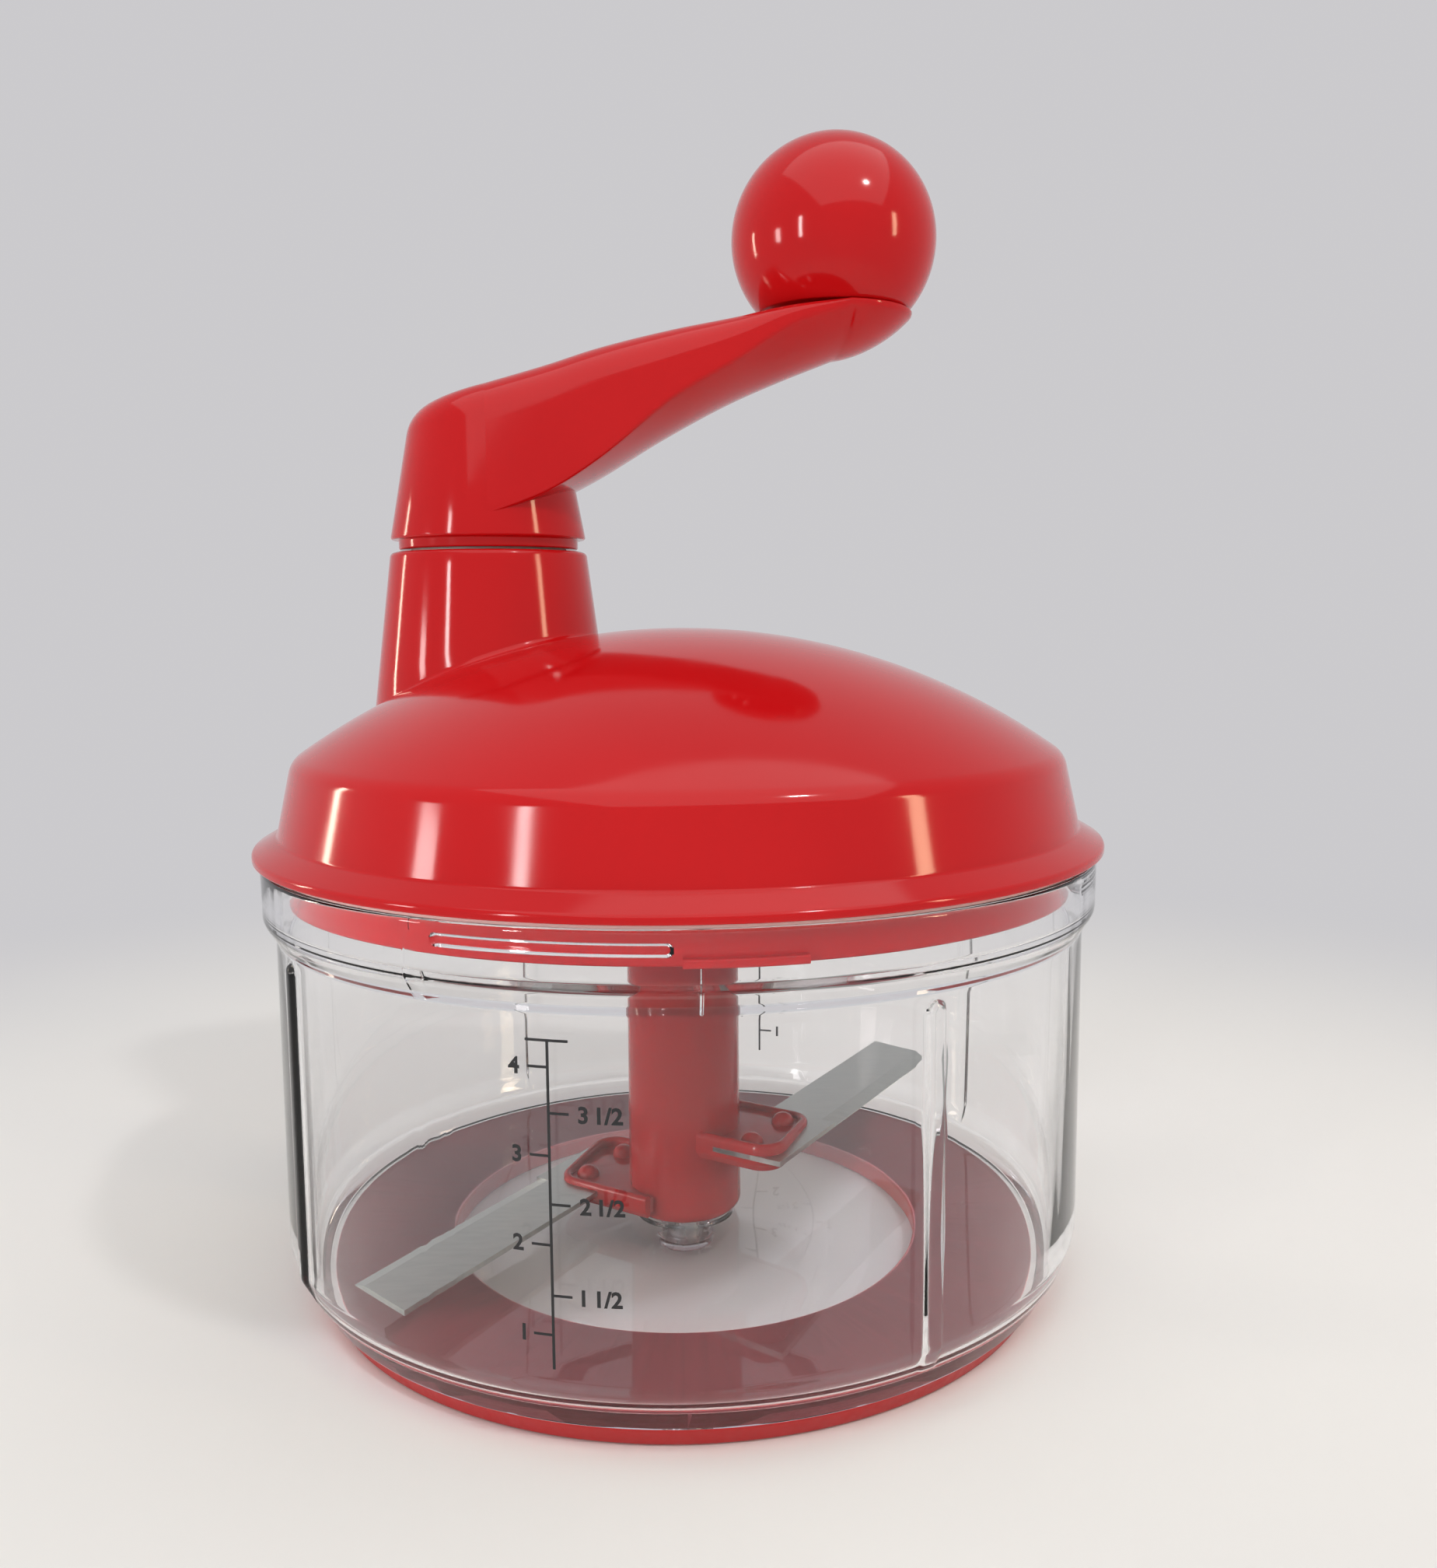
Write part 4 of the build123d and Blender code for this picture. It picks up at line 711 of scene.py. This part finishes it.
def armSections(shape, at):
    # the right half of each section, from its lowest line round the crease and the top's edge to the middle
    a = shape
    edge = a["foot"] + a["rise"] * smoothThrough(a["share"], a["edge"], at)
    keel = a["foot"] + a["rise"] * smoothThrough(a["share"], a["keel"], at)
    top = a["foot"] + a["rise"] * smoothThrough(a["share"], a["top"], at)
    corner = smoothThrough(a["share"], a["corner"], at)
    draft = radians(a["draft"]) * (1 - at)
    hubAtEdge = a["hub"] - np.tan(radians(a["draft"])) * (edge[0] - a["foot"])
    half = hubAtEdge + (a["cup"] - hubAtEdge) * at
    # belly: an arc through the lowest line and both creases
    depth = edge - keel
    rho = (half**2 + depth**2) / (2 * depth)
    spread = np.arcsin(half / rho)
    turn = spread[:, None] * np.linspace(0, 1, 15)
    bellyUp = keel[:, None] + rho[:, None] * (1 - np.cos(turn))
    belly = np.stack([rho[:, None] * np.sin(turn), bellyUp], axis=-1)
    # crease: a short curve from the belly to the side whose handle is the corner itself
    heel = np.stack([half, edge], axis=-1)
    sideWay = np.stack([-np.sin(draft), np.cos(draft)], axis=-1)
    bellyWay = np.stack([-np.cos(spread), -np.sin(spread)], axis=-1)
    share = np.linspace(0, 1, 6)[None, :, None]
    reach = a["crease"]
    crease = (
        (1 - share) ** 2 * (heel + bellyWay * reach)[:, None]
        + 2 * share * (1 - share) * heel[:, None]
        + share**2 * (heel + sideWay * reach)[:, None]
    )
    belly[:, -1] = crease[:, 0]
    # top edge: the arc of the corner's radius that touches the drafted side and the level top
    middleUp = top - corner
    sideLine = half * np.cos(draft) + edge * np.sin(draft) - corner
    middleOut = (sideLine - middleUp * np.sin(draft)) / np.cos(draft)
    turn = draft[:, None] + (pi / 2 - draft[:, None]) * np.linspace(0, 1, 12)
    middle = np.stack([middleOut, middleUp], axis=-1)[:, None]
    edgeArc = middle + corner[:, None, None] * np.stack([np.cos(turn), np.sin(turn)], axis=-1)
    start, end = crease[:, -1:], edgeArc[:, :1]
    side = start + (end - start) * np.linspace(0, 1, 12)[None, 1:-1, None]
    lid = edgeArc[:, -1:] * np.array([1, 0]) * np.linspace(1, 0, 9)[None, 1:, None]
    lid[:, :, 1] = top[:, None]
    return np.concatenate([belly[:, :-1], crease, side, edgeArc, lid], axis=1)


def armFrame(along, across, height, start, reach):
    # along points from the crank's axis to the knob's, across to the left of that
    way = reach / np.linalg.norm(reach)
    aside = np.array([-way[1], way[0]])
    flat = start + along[..., None] * way + across[..., None] * aside
    return np.concatenate([flat, height[..., None]], axis=-1)


def buildArm(shape, start, reach):
    # both halves of each section along the arm, then the last one carried round the knob's axis as a cup
    a = shape
    length = np.linalg.norm(reach)
    at = np.linspace(0, 1, 81)
    right = armSections(shape, at)
    along = np.repeat((at * length)[:, None], right.shape[1], axis=1)
    turn = np.radians(np.linspace(0, 90, 31))[1:, None]
    last = right[-1]
    cupAlong, cupAcross = length + last[None, :, 0] * np.sin(turn), last[None, :, 0] * np.cos(turn)
    along = np.concatenate([along, cupAlong])
    across = np.concatenate([right[:, :, 0], cupAcross])
    across[-1] = 0
    # the cup's underside keeps rising past the knob's axis, most at its lowest line
    depth = (last[:, 1].max() - last[:, 1]) / np.ptp(last[:, 1])
    cupUp = last[None, :, 1] + a["cupRise"] * depth * (cupAlong - length)
    height = np.concatenate([right[:, :, 1], cupUp])
    along = np.concatenate([along, along[:, ::-1]], axis=1)
    across = np.concatenate([across, -across[:, ::-1]], axis=1)
    height = np.concatenate([height, height[:, ::-1]], axis=1)
    centre = np.zeros((1, along.shape[1]))
    along = np.concatenate([centre, along])
    across = np.concatenate([centre, across])
    height = np.concatenate([centre + height[0].mean(), height])
    return gridMesh("armBody", armFrame(along, across, height, start, reach), 40)


def buildHub(shape, start, reach):
    # at each angle round the crank's axis: neck, foot, drafted flank, an arc, and the slanting top
    a = shape
    heading = np.arctan2(reach[1], reach[0])
    # on the arm's side the top lies lower by drop, so that it is hidden in the arm
    far = np.linspace(90, 180, 61)
    turn = np.concatenate([-far[::-1], np.linspace(-89.9, 89.9, 90), far])
    drop = np.where(np.abs(turn) < 89.95, a["drop"], 0)
    turn = np.radians(turn)
    draft = radians(a["draft"])
    slope = a["slope"] * np.cos(turn)
    topAt = a["foot"] + a["rise"] * a["top"][0] - drop
    radius = a["hubEdge"]
    # the arc's middle is one radius inside the flank line and one below the top line
    flankSide = a["hub"] * np.cos(draft) + a["foot"] * np.sin(draft) - radius
    topSide = topAt / np.hypot(1, slope) - radius
    # solved for the middle: cos(d) x + sin(d) z = flankSide and (z - slope x) / hypot = topSide
    rhs = topSide * np.hypot(1, slope)
    middleOut = (flankSide - np.sin(draft) * rhs) / (np.cos(draft) + np.sin(draft) * slope)
    middleUp = rhs + slope * middleOut
    last = pi / 2 + np.arctan(slope)
    arc = draft + (last[:, None] - draft) * np.linspace(0, 1, 12)
    arcOut = middleOut[:, None] + radius * np.cos(arc)
    arcUp = middleUp[:, None] + radius * np.sin(arc)
    foot = roundedPath([
        (0, a["neckFoot"], 0), (a["neck"], a["neckFoot"], 0.0004), (a["neck"], a["hubFoot"], 0.0003),
        (a["hub"] + (a["foot"] - a["hubFoot"]) * np.tan(draft), a["hubFoot"], a["footSoft"]),
        (a["hub"] - a["flankRise"] * np.tan(draft), a["foot"] + a["flankRise"], 0),
    ], 5)
    lidOut = arcOut[:, -1:] * np.linspace(1, 0, 8)[1:]
    lidUp = topAt[:, None] + slope[:, None] * lidOut
    out = np.concatenate([np.repeat(foot[None, :, 0], len(turn), axis=0), arcOut, lidOut], axis=1)
    up = np.concatenate([np.repeat(foot[None, :, 1], len(turn), axis=0), arcUp, lidUp], axis=1)
    angle = (turn + heading)[:, None]
    out[-1], up[-1] = out[0], up[0]
    angle[-1] = angle[0]
    return gridMesh("armHub", roundAxis(out, angle, up, start), 40)


armReach = knobAxis - crankAxis
armParts = [build(armShape, crankAxis, armReach) for build in (buildArm, buildHub)]
place(joined("crankArm", *armParts), "crank", "red", instead=("crank_arm",))

knobShape = dict(radius=0.0213, foot=0.1897, footRadius=0.01565, soft=0.0006, edgeTurn=2.2)


def buildKnob(shape, axis):
    # a ball cut flat below: foot disc, a small rounded edge, then the arc up to the pole
    k = shape
    centre = k["foot"] + np.sqrt(k["radius"] ** 2 - k["footRadius"] ** 2)
    fromTurn = np.degrees(np.arcsin((k["foot"] - centre) / k["radius"]))
    ball = arcPoints((0, centre), k["radius"], fromTurn + k["edgeTurn"], 90, 72)
    ball[-1, 0] = 0
    corner = (k["footRadius"] - 0.0001, k["foot"], k["soft"])
    edge = roundedPath([(0, k["foot"], 0), corner, tuple(ball[0]) + (0,)], 6)
    return revolve("knobBall", np.concatenate([edge, ball[1:]]), axis, 144, 40)


place(buildKnob(knobShape, knobAxis), "knob", "red", instead=("knob",))
print("crank and knob are made")

shaftShape = dict(
    foot=0.0078, footRadius=0.0113, top=0.0724, topRadius=0.0109, bore=0.0046, soft=0.0022,
    boreDeep=0.006, straight=0.010, heading=57.0, levels=(0.0240, 0.0120),
    trayThick=0.0022, trayTop=0.00125, trayBack=-0.0080, trayEnd=0.0143, sideAtBack=0.0256, sideAtEnd=0.0218,
    corner=0.0040, inset=0.0005, lift=0.0002, traySoft=0.0003, rimWide=0.0017, rimHigh=0.0031, rimEnd=0.0022,
    rimFrom=0.35, rimOver=0.4, studs=(-0.0032, 0.0092), studSide=0.0176, studRadius=0.0023, studHigh=0.0034,
)


def inFrame(grid, frameAt):
    # the first coordinate runs along the blade, the second to its side
    along, side = frameAt
    return np.concatenate([grid[..., :1] * along + grid[..., 1:2] * side, grid[..., 2:]], axis=-1)


def softPrism(name, frameAt, outline, low, high, corner, soft):
    # a convex outline with rounded corners carried upwards; at both ends it draws in along a quarter circle
    outline = np.array(outline)
    edge = np.roll(outline, -1, axis=0) - outline
    edge /= np.linalg.norm(edge, axis=1)[:, None]
    after = np.stack([edge[:, 1], -edge[:, 0]], axis=1)  # outward from each edge
    before = np.roll(after, 1, axis=0)
    cosine = (before * after).sum(axis=1)
    middle = outline - corner * (before + after) / (1 + cosine)[:, None]
    turn = np.arctan2(before[:, 1], before[:, 0])[:, None] + np.arccos(cosine)[:, None] * np.linspace(0, 1, 7)
    outward = np.stack([np.cos(turn), np.sin(turn)], axis=-1)
    bend = np.radians(np.linspace(0, 90, 6))
    drawIn = np.concatenate([soft * (1 - np.sin(bend)), soft * (1 - np.cos(bend))])
    height = np.concatenate([low + soft * (1 - np.cos(bend)), high - soft * (1 - np.sin(bend))])
    rows = (middle[:, None] + (corner - drawIn)[:, None, None, None] * outward).reshape(len(height), -1, 2)
    rows = np.concatenate([rows, np.repeat(height, rows.shape[1]).reshape(*rows.shape[:2], 1)], axis=-1)
    caps = [np.tile([*outline.mean(axis=0), z], (1, rows.shape[1], 1)) for z in (low, high)]
    grid = np.concatenate([caps[0], rows, caps[1]])
    return gridMesh(name, inFrame(np.concatenate([grid, grid[:, :1]], axis=1), frameAt), 40)


def trayRim(shape, frameAt, z):
    # a rounded bar carried round three sides of the tray; along its length the top comes down to rimEnd
    h = shape
    half = h["rimWide"] / 2
    path = roundedPath([
        (h["trayBack"] + half, 0, 0), (h["trayBack"] + half, h["sideAtBack"] - half, h["corner"]),
        (h["trayEnd"] - half, h["sideAtEnd"] - half, h["corner"]), (h["trayEnd"] - half, 0, 0),
    ], 10)
    way = np.gradient(path, axis=0)
    way /= np.linalg.norm(way, axis=1)[:, None]
    outward = np.stack([-way[:, 1], way[:, 0]], axis=1)
    length = np.concatenate([[0], np.cumsum(np.linalg.norm(np.diff(path, axis=0), axis=1))])
    share = np.clip((length / length[-1] - h["rimFrom"]) / h["rimOver"], 0, 1)
    top = z + h["rimHigh"] + (h["rimEnd"] - h["rimHigh"]) * share**2 * (3 - 2 * share)
    low = z - h["trayThick"]
    # the bar's section at a height of 4 mm, stretched to the height at each place
    tall = 0.0040
    section = roundedPath([
        (0, 0, 0), (half - 0.0006, 0, 0.0003), (half, 0.0010, 0.0006), (half, tall, 0.0008),
        (-half, tall, 0.0008), (-half, 0, 0.0002), (0, 0, 0),
    ], 5)
    flat = path[:, None] + section[:, :1] * outward[:, None]
    height = low + section[:, 1] / tall * (top - low)[:, None]
    return gridMesh("rim", inFrame(withEnds(np.concatenate([flat, height[..., None]], axis=-1)), frameAt), 40)


def buildStud(shape, spot, z):
    side, top = shape["studRadius"], z + shape["studHigh"]
    outline = roundedPath([(0, z, 0), (side, z, 0.0001), (side, top, side * 0.96), (0, top, 0)], 9)
    return revolve("stud", outline, spot, 40)


def buildShaft(shape):
    # the tube with its bore, then at each level a tray: floor, rim and two studs
    h = shape
    boreTop = h["foot"] + h["boreDeep"]
    tube = roundedPath([
        (h["bore"], boreTop, 0), (h["bore"], h["foot"], 0.0003), (h["footRadius"], h["foot"], h["soft"]),
        (h["footRadius"] - 0.0001, h["foot"] + h["straight"], 0), (h["topRadius"], h["top"], 0.0005),
        (0, h["top"], 0), (0, boreTop, 0), (h["bore"], boreTop, 0),
    ], 6)
    pieces = [revolve("tube", tube, count=96)]
    inset = h["inset"]
    back, end = h["trayBack"] + inset, h["trayEnd"] - inset
    outline = [(back, 0), (end, 0), (end, h["sideAtEnd"] - inset), (back, h["sideAtBack"] - inset)]
    for heading, z in zip(np.radians((h["heading"], h["heading"] + 180)), h["levels"]):
        along = np.array([np.cos(heading), np.sin(heading)])
        frameAt = (along, np.array([along[1], -along[0]]))  # the blade lies on the right of the shaft
        low, high = z - h["trayThick"] + h["lift"], z + h["trayTop"]
        pieces.append(softPrism("tray", frameAt, outline, low, high, h["corner"] - inset, h["traySoft"]))
        pieces.append(trayRim(h, frameAt, z))
        for stud in h["studs"]:
            pieces.append(buildStud(h, stud * frameAt[0] + h["studSide"] * frameAt[1], z))
    return joined("bladeShaft", *pieces)


# the shaft takes the darker red, whose darkness is painted shade
place(buildShaft(shaftShape), "blades", "shaftRed", slot="red", instead=("blade_shaft",))
print("blade shaft is made")

# the floor fades into the backdrop between two distances from the part
studio = dict(
    floor=(0.88, 0.885, 0.865), backdrop=(0.60, 0.592, 0.61), fadeFrom=0.17, fadeTo=0.42,
    reach=(0.0, 0.3, 3.0), level=-0.00004, frontLight=(0.30, 0.29, 0.29), backLight=(0.80, 0.79, 0.82),
    worldStrength=0.60,
)


def seenRay(tree):
    # one for rays from the camera, in a mirror or through the clear wall; nothing for light on the part
    path = addNode(tree, "ShaderNodeLightPath")
    total = path.outputs["Is Camera Ray"]
    for name in ("Is Glossy Ray", "Is Transmission Ray"):
        more = addNode(tree, "ShaderNodeMath", operation="MAXIMUM")
        tree.links.new(total, more.inputs[0])
        tree.links.new(path.outputs[name], more.inputs[1])
        total = more.outputs[0]
    return total


def buildFloor(look):
    reach = np.array(look["reach"])[:, None]
    floor = gridMesh("studioFloor", roundAxis(reach, fullTurn(96), look["level"]))
    material, tree, shader = newFinish("paleFloor", Roughness=0.9, Specular_IOR_Level=0.1)
    shader.inputs["Base Color"].default_value = (*look["floor"], 1)
    spot = addNode(tree, "ShaderNodeTexCoord")
    away = addNode(tree, "ShaderNodeVectorMath", operation="LENGTH")
    tree.links.new(spot.outputs["Object"], away.inputs[0])
    fade = addNode(tree, "ShaderNodeMapRange", interpolation_type="SMOOTHSTEP")
    fade.inputs["From Min"].default_value = look["fadeFrom"]
    fade.inputs["From Max"].default_value = look["fadeTo"]
    tree.links.new(away.outputs["Value"], fade.inputs["Value"])
    share = addNode(tree, "ShaderNodeMath", operation="MULTIPLY")
    tree.links.new(seenRay(tree), share.inputs[0])
    tree.links.new(fade.outputs["Result"], share.inputs[1])
    far = addNode(tree, "ShaderNodeEmission", Strength=1.0, Color=(*look["backdrop"], 1))
    mixShaders(tree, share.outputs[0], shader, far, tree.nodes["Material Output"])
    floor.data.materials.append(material)


def buildWorld(look):
    # light that falls on the part is dimmer in front than behind; other rays see the backdrop
    world = bpy.data.worlds.new("studioWorld")
    world.use_nodes = True
    bpy.context.scene.world = world
    tree = world.node_tree
    lightUp = tree.nodes["Background"]
    lightUp.inputs["Strength"].default_value = look["worldStrength"]
    way = addNode(tree, "ShaderNodeTexCoord")
    split = addNode(tree, "ShaderNodeSeparateXYZ")
    tree.links.new(way.outputs["Generated"], split.inputs[0])
    behind = ranged(tree, split.outputs["Y"], 0, 1, -0.15, 0.35)
    tree.links.new(blendColours(tree, behind, look["frontLight"], look["backLight"]), lightUp.inputs["Color"])
    backdrop = addNode(tree, "ShaderNodeBackground", Strength=1.0, Color=(*look["backdrop"], 1))
    mixShaders(tree, seenRay(tree), lightUp, backdrop, tree.nodes["World Output"])


buildFloor(studio)
buildWorld(studio)

aim = np.array([0.0, 0.0, 0.105])


def placed(spot, turned):
    return Matrix.Translation(tuple(spot)) @ Matrix(turned.tolist()).to_4x4()


lamps = [
    # name, direction from the part, distance, width, height, watts, colour
    ("softTop", (0.10, -0.35, 0.93), 1.30, 2.00, 2.00, 13.0, (1.0, 0.985, 0.97)),
    ("windowLeft", (-0.664, -0.747, 0.16), 1.17, 0.07, 0.42, 2.8, (1.0, 0.98, 0.97)),
    ("lampRight", (0.43, -0.48, 0.76), 1.20, 0.08, 0.06, 2.2, (1.0, 0.97, 0.95)),
    ("paneLeft", (-0.937, -0.349, 0.10), 1.05, 0.11, 0.22, 1.5, (1.0, 0.90, 0.88)),
    ("warmRight", (0.911, -0.413, 0.24), 1.05, 0.09, 0.34, 1.6, (1.0, 0.78, 0.50)),
    ("warmBack", (-0.958, 0.287, 0.12), 1.03, 0.05, 0.30, 1.0, (1.0, 0.88, 0.70)),
]
for name, way, distance, width, height, watts, colour in lamps:
    light = bpy.data.lights.new(name, "AREA")
    light.shape = "RECTANGLE"
    light.size, light.size_y = width, height
    light.energy = watts
    light.color = colour
    way = np.array(way) / np.linalg.norm(way)
    spot = aim + way * distance
    level = np.cross((0, 0, 1), way)
    level /= np.linalg.norm(level)
    turned = np.stack([level, np.cross(way, level), way], axis=1)
    addObject(name, light).matrix_world = placed(spot, turned)

view = dict(place=(0.0, -0.2695, 0.1269), tilt=6.91, swing=1.57, roll=-0.44, lens=31.91, sensor=36.0)


def buildCamera(v):
    # swing turns the view to the right, tilt lowers it, roll turns the picture
    tilt, swing, roll = np.radians((v["tilt"], v["swing"], v["roll"]))
    level = np.array([np.cos(swing), -np.sin(swing), 0])
    upright = np.array([np.sin(tilt) * np.sin(swing), np.sin(tilt) * np.cos(swing), np.cos(tilt)])
    ahead = np.array([np.cos(tilt) * np.sin(swing), np.cos(tilt) * np.cos(swing), -np.sin(tilt)])
    right = np.cos(roll) * level + np.sin(roll) * upright
    up = -np.sin(roll) * level + np.cos(roll) * upright
    camera = bpy.data.cameras.new("camera")
    camera.lens, camera.sensor_width, camera.sensor_fit = v["lens"], v["sensor"], "AUTO"
    camera.clip_start = 0.01
    bpy.context.scene.camera = addObject("camera", camera)
    bpy.context.scene.camera.matrix_world = placed(v["place"], np.stack([right, up, -ahead], axis=1))


buildCamera(view)
bpy.context.scene.view_settings.view_transform = "Standard"
print("floor, lights and camera are set")
